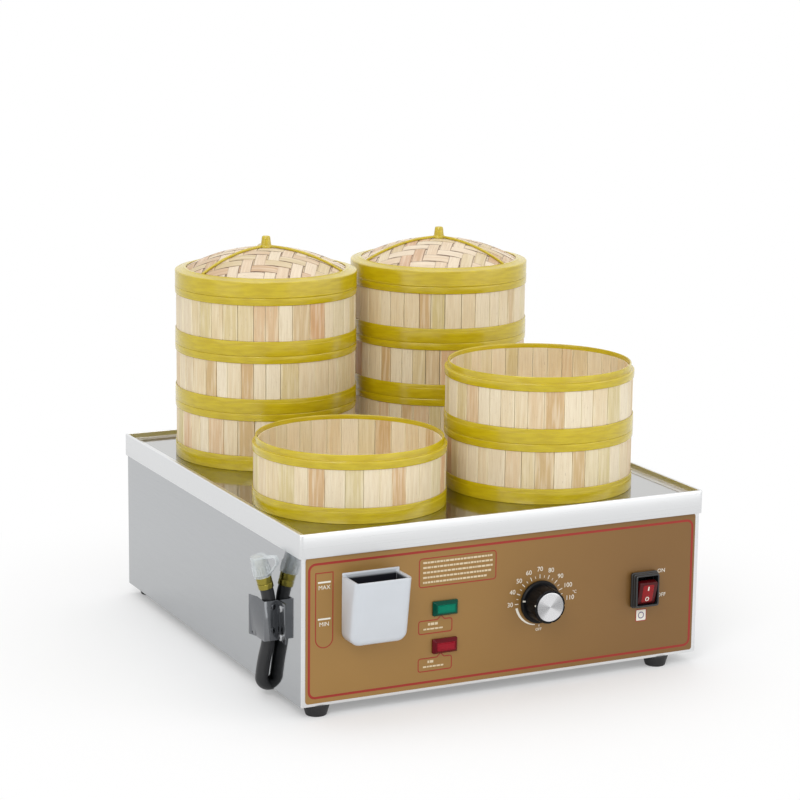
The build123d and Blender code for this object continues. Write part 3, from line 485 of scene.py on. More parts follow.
@dataclass(frozen=True)
class SpunMetal(Finish):
    """Metal brushed round or across a face whose middle is the object's own origin."""

    tone: Colour
    roughness: float
    spoke_count: float = 40.0
    # Where the painted highlight fans point, and how dark the painted shade between them is
    highlight_fan_turn: float = 2.8
    shade: float = 0.42

    def dress(self, shader: Shader) -> None:
        """Spokes of fine noise, the same along each radius, and two broad bright fans of painted highlight
        with painted shade between them.
        """
        spot = shader.place()
        angle = shader.part(spot, "Z").bearing(shader.part(spot, "X"))
        spokes = shader.node("ShaderNodeTexNoise", {"noise_dimensions": "1D"},
                             {"W": angle * self.spoke_count, "Scale": 1.0, "Detail": 4.0, "Roughness": 0.8})
        # Painted highlight and shade in two bright and two dark fans, standing in for the spun metal's
        # reflections
        painted_highlight_fans = (angle * 2.0 + self.highlight_fan_turn).cosine().spread(-1.0, 0.4)
        tone = shader.mix(spokes * 0.35 + painted_highlight_fans * 0.65, dimmed(self.tone, self.shade), self.tone)
        shader.set(Base_Color=tone, Metallic=1.0, Roughness=spokes * 0.12 + self.roughness,
                   Normal=shader.bump(spokes, 0.05, 0.5))


@dataclass(frozen=True)
class Lens(Finish):
    """A lamp's coloured window, paler in its middle and darker towards its edges in painted shade."""

    tone: Colour
    # The painted shade towards the window's edges
    edge: Colour
    half_width: float
    half_height: float
    rib_pitch: tuple[float, float, float] = (900, 40, 40)

    def dress(self, shader: Shader) -> None:
        """A paler middle that fades into painted shade at soft edges, and fine ribs behind the gloss."""
        spot = shader.place()
        side, rise = (
            abs(shader.part(spot, axis)).spread(half * share * MM, half * MM, 1.0, 0.0)
            for axis, half, share in (("X", self.half_width, 0.8), ("Z", self.half_height, 0.7)))
        ribs = shader.noise(shader.place(self.rib_pitch), 1.0, 2.0)
        tone = shader.mix(side * rise * (ribs * 0.4 + 0.6), self.edge, self.tone)
        shader.set(Base_Color=tone, Roughness=0.1, Specular_IOR_Level=0.12, Coat_Weight=0.0,
                   Normal=shader.bump(ribs, 0.03, 0.3))


@dataclass(frozen=True)
class Clear(Finish):
    """Clear soft plastic."""

    tone: Colour
    cover: float

    def dress(self, shader: Shader) -> None:
        """Mostly see-through, with a cloudy skin."""
        cloud = shader.noise(shader.place(), 260.0, 2.0)
        shader.set(Base_Color=self.tone, Alpha=cloud * 0.25 + self.cover, Roughness=cloud * 0.2 + 0.08,
                   Coat_Weight=0.6, IOR=1.45)


STEEL = srgb(178, 180, 182)
BRUSHED_RIM = Sheet("brushed_rim", srgb(222, 223, 224), 0.2, (3, 900, 2200), 0.34)
MIRROR_STEEL = Sheet("mirror_steel", STEEL, 0.03, (30, 30, 900), 0.06)
TRAY_FLOOR = Sheet("tray_floor_steel", srgb(170, 170, 168), 0.05, (30, 900, 30), 0.08)
INNER_STEEL = Sheet("inner_steel", srgb(150, 150, 148), 0.26, (30, 600, 600), 0.3)
DARK_STEEL = Sheet("element_steel", srgb(96, 94, 92), 0.35, (200, 200, 200), 0.3)
SCREW_STEEL = Sheet("screw_steel", srgb(170, 171, 173), 0.16, (400, 400, 400), 0.2)
CLIP_STEEL = Sheet("clip_steel", srgb(118, 120, 123), 0.08, (30, 30, 900), 0.08)
BRASS = Sheet("brass", srgb(150, 138, 62), 0.14, (500, 500, 2500), 0.25)
# The film's darker right side is painted shade
BRONZE = PrintedSheet("bronze_film", srgb(153, 116, 58), srgb(124, 89, 42), -0.15, 0.22)
INKS = {
    Ink.RED: Moulded("red_ink", srgb(156, 36, 20), 0.5),
    Ink.WHITE: Moulded("white_ink", srgb(240, 236, 224), 0.45),
    Ink.VIOLET: Moulded("violet_ink", srgb(104, 84, 128), 0.45),
    Ink.TAN: Moulded("tan_ink", srgb(222, 205, 172), 0.45),
}
HOOPS = HoopPlastic("hoop_plastic", srgb(203, 181, 18), srgb(190, 166, 8))
BAMBOO = Bamboo("bamboo", srgb(242, 230, 204), srgb(232, 212, 174), srgb(208, 178, 128),
                srgb(214, 168, 124), srgb(250, 240, 206))
# Its dark edge colour is painted shadow in the gaps between strips and where they pass under each other
WEAVE = Bamboo("woven_bamboo", srgb(234, 219, 195), srgb(222, 199, 170), srgb(198, 166, 128),
               srgb(208, 168, 138), srgb(96, 62, 38), 0.95, 2.2)
BLACK_PLASTIC = Moulded("black_plastic", srgb(30, 30, 32), 0.4, 0.03)
KNOB_PLASTIC = Moulded("knob_plastic", srgb(12, 12, 14), 0.36, 0.01, 900.0, 0.0, 0.16)
RUBBER = Moulded("black_rubber", srgb(26, 26, 27), 0.55, 0.05)
BOOT_RUBBER = Moulded("boot_rubber", srgb(32, 34, 36), 0.32, 0.02, 700.0, 0.2)
HOSE_RUBBER = Moulded("hose_rubber", srgb(28, 29, 31), 0.36, 0.03, 500.0)
IVORY = Moulded("ivory_plastic", srgb(224, 218, 198), 0.4)
ROCKER_EDGE = Moulded("rocker_edge", srgb(74, 8, 12), 0.22, 0.01, 900.0, 0.02, 0.25)
ROCKER_WINDOW = Moulded("rocker_window", srgb(146, 14, 20), 0.2, 0.01, 900.0, 0.02, 0.25)
CLEAR_CAP = Clear("clear_cap", srgb(222, 228, 230), 0.34)
ALUMINIUM = SpunMetal("spun_aluminium", srgb(226, 226, 228), 0.22)


def ray(angle: float) -> Vector:
    """The direction at an angle in a plane."""
    return Vector((math.cos(angle), math.sin(angle)))


def around(count: int) -> list[float]:
    """Evenly spaced angles once round."""
    return [2 * math.pi * step / count for step in range(count)]


def circle(radius: float, count: int, centre: Vector = Vector((0, 0))) -> list[Vector]:
    """A circle's points in a plane."""
    return [centre + ray(turn) * radius for turn in around(count)]


def level(outline: Sequence[Vector], height: float) -> list[Vector]:
    """An outline laid flat at a height."""
    return [Vector((p.x, p.y, height)) for p in outline]


def facing(outline: Sequence[Vector], lift: float) -> list[Vector]:
    """An outline on a face that looks to the front, lifted off it."""
    return [Vector((p.x, -lift, p.y)) for p in outline]


def moved(outline: Sequence[Vector], by: Vector) -> list[Vector]:
    """An outline moved by a distance."""
    return [p + by for p in outline]


def arc(centre: Vector, start: Vector, end: Vector, steps: int) -> list[Vector]:
    """Points on the shorter arc between two points at the same distance from a centre."""
    first = math.atan2(start.y - centre.y, start.x - centre.x)
    turn = (math.atan2(end.y - centre.y, end.x - centre.x) - first + math.pi) % (2 * math.pi) - math.pi
    reach = (start - centre).length
    return [centre + ray(first + turn * step / steps) * reach for step in range(steps + 1)]


def rounded(corners: Sequence[tuple[float, float, float]], steps: int = 4) -> list[Vector]:
    """Rounds the corners of a closed outline.

    Args:
        corners: each corner's two places and its radius.
        steps: faces in each round corner.

    Returns:
        The outline's points.
    """
    outline: list[Vector] = []
    for index, (x, y, radius) in enumerate(corners):
        here = Vector((x, y))
        before = (Vector(corners[index - 1][:2]) - here).normalized()
        after = (Vector(corners[(index + 1) % len(corners)][:2]) - here).normalized()
        if radius <= 0:
            outline.append(here)
            continue
        half = before.angle(after) / 2
        centre = here + (before + after).normalized() * (radius / math.sin(half))
        reach = radius / math.tan(half)
        outline += arc(centre, here + before * reach, here + after * reach, steps)
    return outline


def rectangle(width: float, height: float, radius: float, steps: int = 5) -> list[Vector]:
    """A centred rectangle with rounded corners."""
    half_w, half_h = width / 2, height / 2
    corners = [(half_w, half_h), (-half_w, half_h), (-half_w, -half_h), (half_w, -half_h)]
    return rounded([(x, y, radius) for x, y in corners], steps)


class Solid:
    """A closed mesh in the making, in millimetres round its own origin."""

    def __init__(self) -> None:
        """Starts empty."""
        self.points: list[Vector] = []
        self.grain: list[Vector] = []
        self.faces: list[tuple[int, ...]] = []

    def loft(self, rings: Sequence[Sequence[Vector]], closed: bool = False,
             grain: Optional[Sequence[Sequence[Vector]]] = None) -> "Solid":
        """Joins loops of points into a skin.

        Args:
            rings: loops with the same number of points.
            closed: True where the last loop joins the first; else both ends are capped.
            grain: for each point, its across, along and tone for a strip's finish.

        Returns:
            This solid.
        """
        base = len(self.points)
        size = len(rings[0])
        for place, ring in enumerate(rings):
            self.points += ring
            self.grain += grain[place] if grain else [point.copy() for point in ring]
        spans = len(rings) if closed else len(rings) - 1
        for span in range(spans):
            low = base + span * size
            high = base + (span + 1) % len(rings) * size
            for index in range(size):
                following = (index + 1) % size
                self.faces.append((low + index, low + following, high + following, high + index))
        if not closed:
            last = base + (len(rings) - 1) * size
            self.faces.append(tuple(base + index for index in reversed(range(size))))
            self.faces.append(tuple(last + index for index in range(size)))
        return self

    def turned(self, outline: Sequence[Vector], segments: int = 144, centre: Vector = Vector()) -> "Solid":
        """Turns a closed outline of radius and height about Z."""
        rings = []
        notes = []
        for turn in around(segments):
            rings.append([centre + Vector((*(ray(turn) * p.x), p.y)) for p in outline])
            along = abs(turn - math.pi) * outline[0].x
            notes.append([Vector((along, p.y, p.x * 0.1)) for p in outline])
        return self.loft(rings, True, notes)

    def bar(self, low: Vector, high: Vector) -> "Solid":
        """A bar between two corners."""
        loop = [Vector(p) for p in ((low.x, low.y), (high.x, low.y), (high.x, high.y), (low.x, high.y))]
        return self.loft([level(loop, z) for z in (low.z, high.z)])

    def inked(self, outline: Sequence[Vector], thickness: float, place: Callable[[Vector, float], Vector],
              line: float = 0.0) -> "Solid":
        """Adds a thin printed shape, filled or as a line round its outline.

        Args:
            outline: closed outline on the face.
            thickness: how far the ink stands out.
            place: turns a point of the face and a height over it into a point in space.
            line: the line's width, or 0 for a filled shape.

        Returns:
            This solid.
        """
        if line == 0.0:
            return self.loft([[place(p, h) for p in outline] for h in (0.0, thickness)])
        inner = inset(outline, line)
        loops = [(outline, 0.0), (outline, thickness), (inner, thickness), (inner, 0.0)]
        return self.loft([[place(p, h) for p in loop] for loop, h in loops], True)

    def piece(self, name: str, body: str, finish: Finish, slot: str, at: Vector = Vector(),
              replaces: Sequence[str] = (), crease: float = CREASE) -> bpy.types.Object:
        """Makes the object.

        Args:
            name: the object's name.
            body: the body that it rides on.
            finish: its finish.
            slot: the record's material slot; not used.
            at: where its origin stands, in millimetres.
            replaces: the nodes that it stands for.
            crease: the angle past which an edge stays sharp.

        Returns:
            The object.
        """
        mesh = bpy.data.meshes.new(name)
        mesh.from_pydata([point * MM for point in self.points], [], self.faces)
        kept = mesh.attributes.new(GRAIN, "FLOAT_VECTOR", "POINT")
        kept.data.foreach_set("vector", [part for note in self.grain for part in note])
        work = bmesh.new()
        work.from_mesh(mesh)
        bmesh.ops.recalc_face_normals(work, faces=work.faces)
        work.to_mesh(mesh)
        work.free()
        mesh.shade_smooth()
        mesh.set_sharp_from_angle(angle=math.radians(crease))
        return place_piece(bpy.data.objects.new(name, mesh), body, finish, at, replaces)


def inset(outline: Sequence[Vector], width: float) -> list[Vector]:
    """Moves a closed outline inwards by a width."""
    area = sum(outline[i - 1].cross(p) for i, p in enumerate(outline))
    turn = 1 if area > 0 else -1
    inner = []
    for index, point in enumerate(outline):
        before = (point - outline[index - 1]).normalized()
        after = (outline[(index + 1) % len(outline)] - point).normalized()
        side_a = Vector((-before.y, before.x)) * turn
        side_b = Vector((-after.y, after.x)) * turn
        middle = (side_a + side_b).normalized()
        inner.append(point + middle * (width / max(0.3, middle.dot(side_a))))
    return inner


def place_piece(made: bpy.types.Object, body: str, finish: Finish, at: Vector,
                replaces: Sequence[str] = ()) -> bpy.types.Object:
    """Puts an object in the scene, dressed, riding on its body and standing for its nodes."""
    bpy.context.scene.collection.objects.link(made)
    made.location = at * MM
    made.data.materials.clear()
    made.data.materials.append(finish.material())
    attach(made, body)
    if replaces:
        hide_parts(*replaces)
    log.info("%s rides on %s", made.name, body)
    return made


def softened(name: str, node: str, width: float, finish: Finish, body: str = "machine") -> bpy.types.Object:
    """Makes a copy of a node with its edges rounded over.

    Args:
        name: the new piece's name.
        node: the node that it stands for.
        width: how far each edge is rounded, in millimetres.
        finish: its finish.
        body: the body that it rides on.

    Returns:
        The object.
    """
    mesh = frame["nodes"][node].data.copy()
    mesh.name = name
    work = bmesh.new()
    work.from_mesh(mesh)
    bmesh.ops.remove_doubles(work, verts=work.verts, dist=WELD)
    bmesh.ops.dissolve_limit(work, angle_limit=math.radians(1.5), verts=work.verts, edges=work.edges)
    work.to_mesh(mesh)
    work.free()
    made = bpy.data.objects.new(name, mesh)
    round_over = made.modifiers.new("round_over", "BEVEL")
    round_over.width = width * MM
    round_over.segments = 3
    round_over.limit_method = "ANGLE"
    round_over.angle_limit = math.radians(32)
    round_over.harden_normals = True
    place_piece(made, body, finish, Vector(), [node])
    bpy.context.view_layer.update()
    shaped = bpy.data.meshes.new_from_object(made.evaluated_get(bpy.context.evaluated_depsgraph_get()))
    made.modifiers.clear()
    made.data = shaped
    shaped.shade_smooth()
    shaped.set_sharp_from_angle(angle=math.radians(CREASE))
    return made


def node_box(node: str) -> tuple[Vector, Vector]:
    """A node's lowest and highest corners, in millimetres."""
    low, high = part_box(node)
    return low / MM, high / MM


def node_centre(node: str) -> Vector:
    """The middle of a node's box, in millimetres."""
    low, high = node_box(node)
    return (low + high) / 2


def back_centre(node: str) -> Vector:
    """The middle of a node's rear face, in millimetres."""
    centre = node_centre(node)
    return Vector((centre.x, node_box(node)[1].y, centre.z))


def seat_centre(node: str) -> Vector:
    """The middle of a node's underside, in millimetres."""
    centre = node_centre(node)
    return Vector((centre.x, centre.y, node_box(node)[0].z))


TRAY_LOW, TRAY_HIGH = node_box("tray_top")
MIDDLE = Vector(((TRAY_LOW.x + TRAY_HIGH.x) / 2, (TRAY_LOW.y + TRAY_HIGH.y) / 2, 0))
RIM_TOP = TRAY_HIGH.z
FACE_Y = node_box("front_overlay")[0].y


@dataclass(frozen=True)
class SoftBox:
    """A rectangular lamp aimed at the object; places and sizes are in metres."""

    name: str
    spot: Vector
    width: float
    height: float
    power: float
    aim: Vector = field(default_factory=lambda: Vector((0, 0, 0.2)))

    def build(self) -> None:
        """Hangs the lamp."""
        light = bpy.data.lights.new(self.name, "AREA")
        light.shape = "RECTANGLE"
        light.size, light.size_y = self.width, self.height
        light.energy = self.power
        lamp = bpy.data.objects.new(self.name, light)
        lamp.location = self.spot
        lamp.rotation_mode = "QUATERNION"
        lamp.rotation_quaternion = (self.aim - self.spot).to_track_quat("-Z", "Y")
        bpy.context.scene.collection.objects.link(lamp)


LAMPS = (
    SoftBox("key", Vector((-1.5, -1.7, 1.9)), 1.1, 1.6, 26.0),
    SoftBox("fill", Vector((1.9, -1.4, 1.0)), 1.2, 1.2, 10.0),
    SoftBox("top", Vector((0.2, 0.6, 2.4)), 1.8, 1.8, 16.0),
)


@dataclass
class Studio:
    """Floor, light and camera."""

    camera_from_rim: Vector = field(default_factory=lambda: Vector((-1165.92, -2372.04, 614.56)))
    azimuth: float = -26.383
    elevation: float = 11.125
    roll: float = 0.678
    frame_size: float = 800.0
    focal_pixels: float = 2482.45
    centre_pixel: tuple[float, float] = (411.34, 375.58)
    sensor: float = 36.0
    floor_half: float = 6.0
    shadow_reach: float = 0.24
    white_from: float = 0.62
    white_at_foot: float = 0.25
    even_light: float = 0.62
    room_light: float = 1.1
    box_light: float = 2.1
    mirrored_boxes: tuple[tuple[float, float], ...] = ((-162.0, 17.0), (-67.0, 19.0))
    box_edge: float = 3.0

    def build(self) -> None:
        """Makes all three."""
        self._camera()
        self._floor()
        self._world()
        for lamp in LAMPS:
            lamp.build()

    def _camera(self) -> None:
        """Stands the camera where the photograph was taken from."""
        lens = bpy.data.cameras.new("camera")
        lens.sensor_width = self.sensor
        lens.lens = self.focal_pixels / self.frame_size * self.sensor
        lens.shift_x = (self.frame_size / 2 - self.centre_pixel[0]) / self.frame_size
        lens.shift_y = (self.centre_pixel[1] - self.frame_size / 2) / self.frame_size
        lens.clip_end = 50.0
        camera = bpy.data.objects.new("camera", lens)
        turn, lift = math.radians(self.azimuth), math.radians(self.elevation)
        back = Vector((math.sin(turn) * math.cos(lift), -math.cos(turn) * math.cos(lift), math.sin(lift)))
        camera.rotation_mode = "QUATERNION"
        aim = (-back).to_track_quat("-Z", "Y")
        camera.rotation_quaternion = aim @ Quaternion((0, 0, 1), math.radians(self.roll))
        camera.location = (MIDDLE + Vector((0, 0, RIM_TOP)) + self.camera_from_rim) * MM
        bpy.context.scene.collection.objects.link(camera)
        bpy.context.scene.camera = camera

    def _floor(self) -> None:
        """A pale floor that turns white away from the object and keeps the shadow near it."""
        half = self.floor_half
        corners = [(-half, -half, 0), (half, -half, 0), (half, half, 0), (-half, half, 0)]
        mesh = bpy.data.meshes.new("floor")
        mesh.from_pydata(corners, [], [(0, 1, 2, 3)])
        floor = bpy.data.objects.new("floor", mesh)
        bpy.context.scene.collection.objects.link(floor)
        shader = Shader("floor")
        away = shader.node("ShaderNodeVectorMath", {"operation": "LENGTH"}, {0: shader.place()}, "Value")
        mottle = shader.noise(shader.place(), 3.0)
        shader.set(Base_Color=shader.mix(mottle * 0.1, (0.9, 0.9, 0.9), (0.86, 0.86, 0.85)), Roughness=0.8)
        white = shader.node("ShaderNodeEmission", None, {"Color": (1.0, 1.0, 1.0, 1.0), "Strength": 1.0})
        seen = 0.0
        for kind in ("Is Camera Ray", "Is Glossy Ray", "Is Transmission Ray"):
            seen = shader.node("ShaderNodeLightPath", output=kind) + seen
        skin = Wire(shader, shader.surface.outputs[0])
        rise = away.spread(self.shadow_reach, self.white_from)
        share = rise * (1 - self.white_at_foot) + self.white_at_foot
        plain = shader.node("ShaderNodeMixShader", None, {0: seen * share, 1: skin, 2: white})
        shader.plug(shader.tree.nodes["Material Output"].inputs["Surface"], plain)
        mesh.materials.append(shader.material)

    def _world(self) -> None:
        """Even light, white behind the object, and two tall soft boxes for what the gloss sees."""
        world = bpy.data.worlds.new("studio")
        bpy.context.scene.world = world
        shader = Shader("studio", world)
        heading = shader.node("ShaderNodeTexCoord", output="Generated")
        turn = shader.part(heading, "Y").bearing(shader.part(heading, "X"))
        boxes = 0.0
        for middle, half in self.mirrored_boxes:
            near, far = math.radians(half - self.box_edge), math.radians(half + self.box_edge)
            boxes = abs(turn - math.radians(middle)).spread(near, far, 1.0, 0.0) + boxes
        gloss = boxes * (self.box_light - self.room_light) + self.room_light
        seen = shader.node("ShaderNodeLightPath", output="Is Camera Ray")
        seen = seen + shader.node("ShaderNodeLightPath", output="Is Transmission Ray")
        even = (1 - seen) * self.even_light + seen
        mirrored = shader.node("ShaderNodeLightPath", output="Is Glossy Ray")
        strength = (1 - mirrored) * even + mirrored * gloss
        shader.set(Color=(1.0, 1.0, 1.0), Strength=strength)


@dataclass
class Tray:
    """The pressed top: folded rim, mirror floor and collars round the steam holes."""

    hem: float = 3.6
    sheet: float = 1.2
    recess: float = 6.0
    corner: float = 4.0
    fold: float = 1.1
    border: float = 14.0
    hole_radius: float = 75.0
    hole_pitch: tuple[float, float] = (212.0, 248.0)
    hole_steps: int = 96
    collar: float = 3.0

    def build(self) -> None:
        """Makes the rim and the floor."""
        size = TRAY_HIGH - TRAY_LOW
        floor = self._rim(size)
        self._floor(size, floor)

    def _outline(self, size: Vector, inward: float) -> list[Vector]:
        """The tray's outline moved inwards."""
        radius = max(0.6, self.corner - inward)
        return rectangle(size.x - 2 * inward, size.y - 2 * inward, radius, 6)

    def _rim(self, size: Vector) -> float:
        """Sweeps the folded section round the tray.

        Args:
            size: the tray's size.

        Returns:
            The floor's height.
        """
        bottom, floor = TRAY_LOW.z, RIM_TOP - self.recess
        under = floor - self.sheet
        inner = self.hem - self.sheet
        section = rounded([
            (0, bottom, 0.3), (0, RIM_TOP, self.fold), (self.hem, RIM_TOP, self.fold), (self.hem, floor, 0.8),
            (self.border, floor, 0), (self.border, under, 0), (inner, under, 0.4),
            (inner, RIM_TOP - self.sheet, 0.3), (self.sheet, RIM_TOP - self.sheet, 0.3),
            (self.sheet, bottom, 0.3),
        ], 3)
        rim = Solid().loft([level(self._outline(size, point.x), point.y) for point in section], True)
        rim.piece("tray_rim", "machine", BRUSHED_RIM, "polished_steel", MIDDLE, ["tray_top"])
        return floor

    def _floor(self, size: Vector, height: float) -> None:
        """Fills the floor between the rim and the four holes, and adds the collars."""
        work = bmesh.new()
        half_x, half_y = (pitch / 2 for pitch in self.hole_pitch)
        centres = [Vector((x, y)) for x in (-half_x, half_x) for y in (-half_y, half_y)]
        loops = [self._outline(size, self.border)]
        loops += [circle(self.hole_radius, self.hole_steps, centre) for centre in centres]
        edges = []
        for loop in loops:
            corners = [work.verts.new((p.x * MM, p.y * MM, (height - self.sheet) * MM)) for p in loop]
            edges += [work.edges.new((corners[i - 1], corners[i])) for i in range(len(corners))]
        filled = bmesh.ops.triangle_fill(work, use_beauty=True, use_dissolve=False, edges=edges)
        faces = [item for item in filled["geom"] if isinstance(item, bmesh.types.BMFace)]
        raised = bmesh.ops.extrude_face_region(work, geom=faces)
        top = [item for item in raised["geom"] if isinstance(item, bmesh.types.BMVert)]
        bmesh.ops.translate(work, verts=top, vec=(0, 0, self.sheet * MM))
        bmesh.ops.recalc_face_normals(work, faces=work.faces)
        mesh = bpy.data.meshes.new("tray_floor")
        work.to_mesh(mesh)
        work.free()
        place_piece(bpy.data.objects.new("tray_floor", mesh), "machine", TRAY_FLOOR, MIDDLE)
        inner, outer = self.hole_radius, self.hole_radius + self.sheet
        low, high = height - self.sheet, height + self.collar
        lip = rounded([(inner, low, 0.2), (outer, low, 0.2), (outer, high, 0.5), (inner, high, 0.5)], 3)
        collars = Solid()
        for centre in centres:
            collars.turned(lip, self.hole_steps, centre.to_3d())
        collars.piece("steam_collars", "machine", TRAY_FLOOR, "polished_steel", MIDDLE)


@dataclass
class Panel:
    """Everything printed on the control panel's film; places are from the cabinet's middle and the table."""

    ink: float = 0.06
    letter_scale: float = 1.36
    letter_weight: float = 0.005
    border_half: float = 220.5
    border_low: float = 19.5
    border_high: float = 157.5
    border_radius: float = 8.0
    border_line: float = 2.47
    thin_line: float = 1.1
    window_sides: tuple[float, float] = (-212.9, -193.3)
    window_ends: tuple[float, float] = (70.5, 147.5)
    levels: tuple[tuple[str, float], ...] = (("MAX", 137.4), ("MIN", 100.2))
    level_bar: tuple[float, float] = (13.6, 1.7)
    note_sides: tuple[float, float] = (-100.3, -13.0)
    note_ends: tuple[float, float] = (119.0, 149.5)
    callout_sides: tuple[float, float] = (-100.4, -62.0)
    callout_ends: tuple[tuple[float, float], ...] = ((70.6, 85.2), (31.5, 46.1))
    callout_point: float = -75.0
    callout_tip: float = 4.2
    knob: tuple[float, float] = (37.6, 89.4)
    scale_radius: float = 34.0
    long_figure_shift: float = 1.6
    major_tick: tuple[float, float, float] = (24.4, 4.2, 0.8)
    minor_tick: tuple[float, float, float] = (25.0, 2.4, 0.6)
    first_mark: int = 30
    last_mark: int = 110
    marks_span: float = 180.0
    sweep_turns: tuple[float, float] = (189.0, 259.0)
    sweep_outer: tuple[float, float] = (28.2, 24.8)
    sweep_inner: tuple[float, float] = (25.4, 23.9)
    switch_words: tuple[tuple[str, tuple[float, float]], ...] = (
        ("ON", (182.6, 105.6)), ("OFF", (183.6, 79.4)))
    tile: tuple[float, float] = (159.4, 60.2)
    solids: dict[Ink, Solid] = field(default_factory=lambda: {ink: Solid() for ink in Ink})

    def _place(self, point: Vector, height: float) -> Vector:
        """A point of the face, lifted off the film."""
        return Vector((point.x, -height, point.y))

    def _shape(self, ink: Ink, outline: Sequence[Vector], line: float = 0.0) -> None:
        """Prints one shape."""
        self.solids[ink].inked(outline, self.ink, self._place, line)

    def _bar(self, ink: Ink, centre: Vector, length: float, width: float, angle: float = 0.0) -> None:
        """Prints a straight bar at an angle in degrees."""
        along = ray(math.radians(angle)) * length / 2
        across = ray(math.radians(angle + 90)) * width / 2
        corners = ((1, 1), (-1, 1), (-1, -1), (1, -1))
        self._shape(ink, [centre + along * x + across * y for x, y in corners])

    def _words(self, text: str, centre: Vector, height: float) -> None:
        """Prints figures or a word in white, centred on a point.

        Args:
            text: what is printed.
            centre: its middle on the face.
            height: the height of its figures.
        """
        letters = bpy.data.curves.new("letters", "FONT")
        letters.body = text
        letters.align_x = "CENTER"
        letters.align_y = "CENTER"
        letters.size = height * self.letter_scale
        letters.offset = self.letter_weight
        letters.extrude = self.ink / 2
        letters.resolution_u = 3
        carrier = bpy.data.objects.new("letters", letters)
        mesh = bpy.data.meshes.new_from_object(carrier)
        work = bmesh.new()
        work.from_mesh(mesh)
        bmesh.ops.remove_doubles(work, verts=work.verts, dist=1e-5)
        target = self.solids[Ink.WHITE]
        base = len(target.points)
        for vert in work.verts:
            target.points.append(self._place(centre + vert.co.xy, vert.co.z + self.ink / 2))
            target.grain.append(Vector())
        target.faces += [tuple(base + vert.index for vert in face.verts) for face in work.faces]
        work.free()
        bpy.data.objects.remove(carrier)
        bpy.data.curves.remove(letters)
        bpy.data.meshes.remove(mesh)

    def build(self) -> None:
        """Prints the border, the level window, the notes, the dial and the switch marks."""
        self._border()
        self._level_window()
        self._notes()
        self._dial()
        self._switch_marks()
        at = Vector((MIDDLE.x, FACE_Y, 0))
        for ink, solid in self.solids.items():
            solid.piece(f"panel_print_{ink.value}", "machine", INKS[ink], "bronze_overlay", at, (),
                        PRINT_CREASE)

    def _border(self) -> None:
        """The red line round the panel."""
        middle = Vector((0, (self.border_low + self.border_high) / 2))
        loop = rectangle(2 * self.border_half, self.border_high - self.border_low, self.border_radius)
        self._shape(Ink.RED, moved(loop, middle), self.border_line)

    def _level_window(self) -> None:
        """The outline beside the filler with its two level marks."""
        left, right = self.window_sides
        low, top = self.window_ends
        bend = (right - left) / 2 - 0.01
        window = rounded([(right, top, 0.6), (left, top, 0.6), (left, low, bend), (right, low, bend)], 10)
        self._shape(Ink.RED, window, self.thin_line)
        middle = (left + right) / 2
        for word, height in self.levels:
            self._bar(Ink.WHITE, Vector((middle, height)), *self.level_bar)
            self._words(word, Vector((middle, height - 5.4)), 4.4)

    def _rows(self, left: float, right: float, top: float, count: int, height: float) -> None:
        """Rows of plain dashes of uneven length.

        Args:
            left: where rows start.
            right: where rows end.
            top: the first row's height.
            count: how many rows.
            height: a dash's height.
        """
        pitch, longest, gap = 5.1, 4.6, 0.7
        chance = random.Random(count * 7 + int(top))
        for row in range(count):
            x = left
            end = right - (chance.uniform(3, 12) if row == count - 1 else 0)
            while x < end - 1.5:
                length = min(chance.uniform(1.6, longest), end - x)
                self._bar(Ink.TAN, Vector((x + length / 2, top - row * pitch)), length, height)
                x += length + gap

    def _notes(self) -> None:
        """The framed note and the lamps' two callouts, with dashes in place of words."""
        left, right = self.note_sides
        low, high = self.note_ends
        corners = ((right, high), (left, high), (left, low), (right, low))
        self._shape(Ink.RED, rounded([(x, y, 3.5) for x, y in corners]), self.thin_line)
        self._rows(left + 4.8, right - 4.5, high - 4.9, 5, 1.9)
        left, right = self.callout_sides
        for low, high in self.callout_ends:
            point, half = self.callout_point, self.callout_tip
            outline = rounded([
                (right, high, 3.0), (point + half, high, 0.3), (point, high + half, 0.3),
                (point - half, high, 0.3), (left, high, 3.0), (left, low, 3.0), (right, low, 3.0)])
            self._shape(Ink.RED, outline, self.thin_line)
            self._rows(left + 11, right - 11, high - 4.4, 1, 2.6)
            self._rows(left + 6, right - 6, high - 9.4, 1, 1.6)

    def _dial(self) -> None:
        """Degrees round the knob, a tick at each step and an arc down to off."""
        centre = Vector(self.knob)
        count = (self.last_mark - self.first_mark) // 10
        for step in range(2 * count + 1):
            angle = 180 - step * self.marks_span / (2 * count)
            aim = ray(math.radians(angle))
            major = step % 2 == 0
            start, length, width = self.major_tick if major else self.minor_tick
            self._bar(Ink.WHITE, centre + aim * (start + length / 2), length, width, angle)
            if major:
                figures = str(self.first_mark + 5 * step)
                reach = self.scale_radius + (self.long_figure_shift if len(figures) > 2 else 0.0)
                self._words(figures, centre + aim * reach, 5.0)
        self._words("°C", centre + Vector((41.0, 5.6)), 3.2)
        self._bar(Ink.WHITE, centre + Vector((0, -25.4)), 2.2, 0.7, 90)
        self._words("OFF", centre + Vector((-0.4, -29.4)), 3.0)
        steps = 24
        first, last = self.sweep_turns
        turns = [(math.radians(first + (last - first) * k / steps), k / steps) for k in range(steps + 1)]
        sweep: list[Vector] = []
        for (near, far), order in ((self.sweep_outer, turns), (self.sweep_inner, turns[::-1])):
            sweep += [centre + ray(turn) * (near + (far - near) * share) for turn, share in order]
        self._shape(Ink.WHITE, sweep)

    def _switch_marks(self) -> None:
        """The words beside the switch and the framed tile under it."""
        for word, spot in self.switch_words:
            self._words(word, Vector(spot), 4.4)
        tile = Vector(self.tile)
        self._shape(Ink.WHITE, moved(rectangle(11.4, 11.4, 0.8), tile))
        self._shape(Ink.RED, moved(rectangle(13.2, 13.2, 1.4), tile), 0.9)
        self.solids[Ink.VIOLET].inked(circle(3.6, 40, tile), 2 * self.ink, self._place, 0.9)


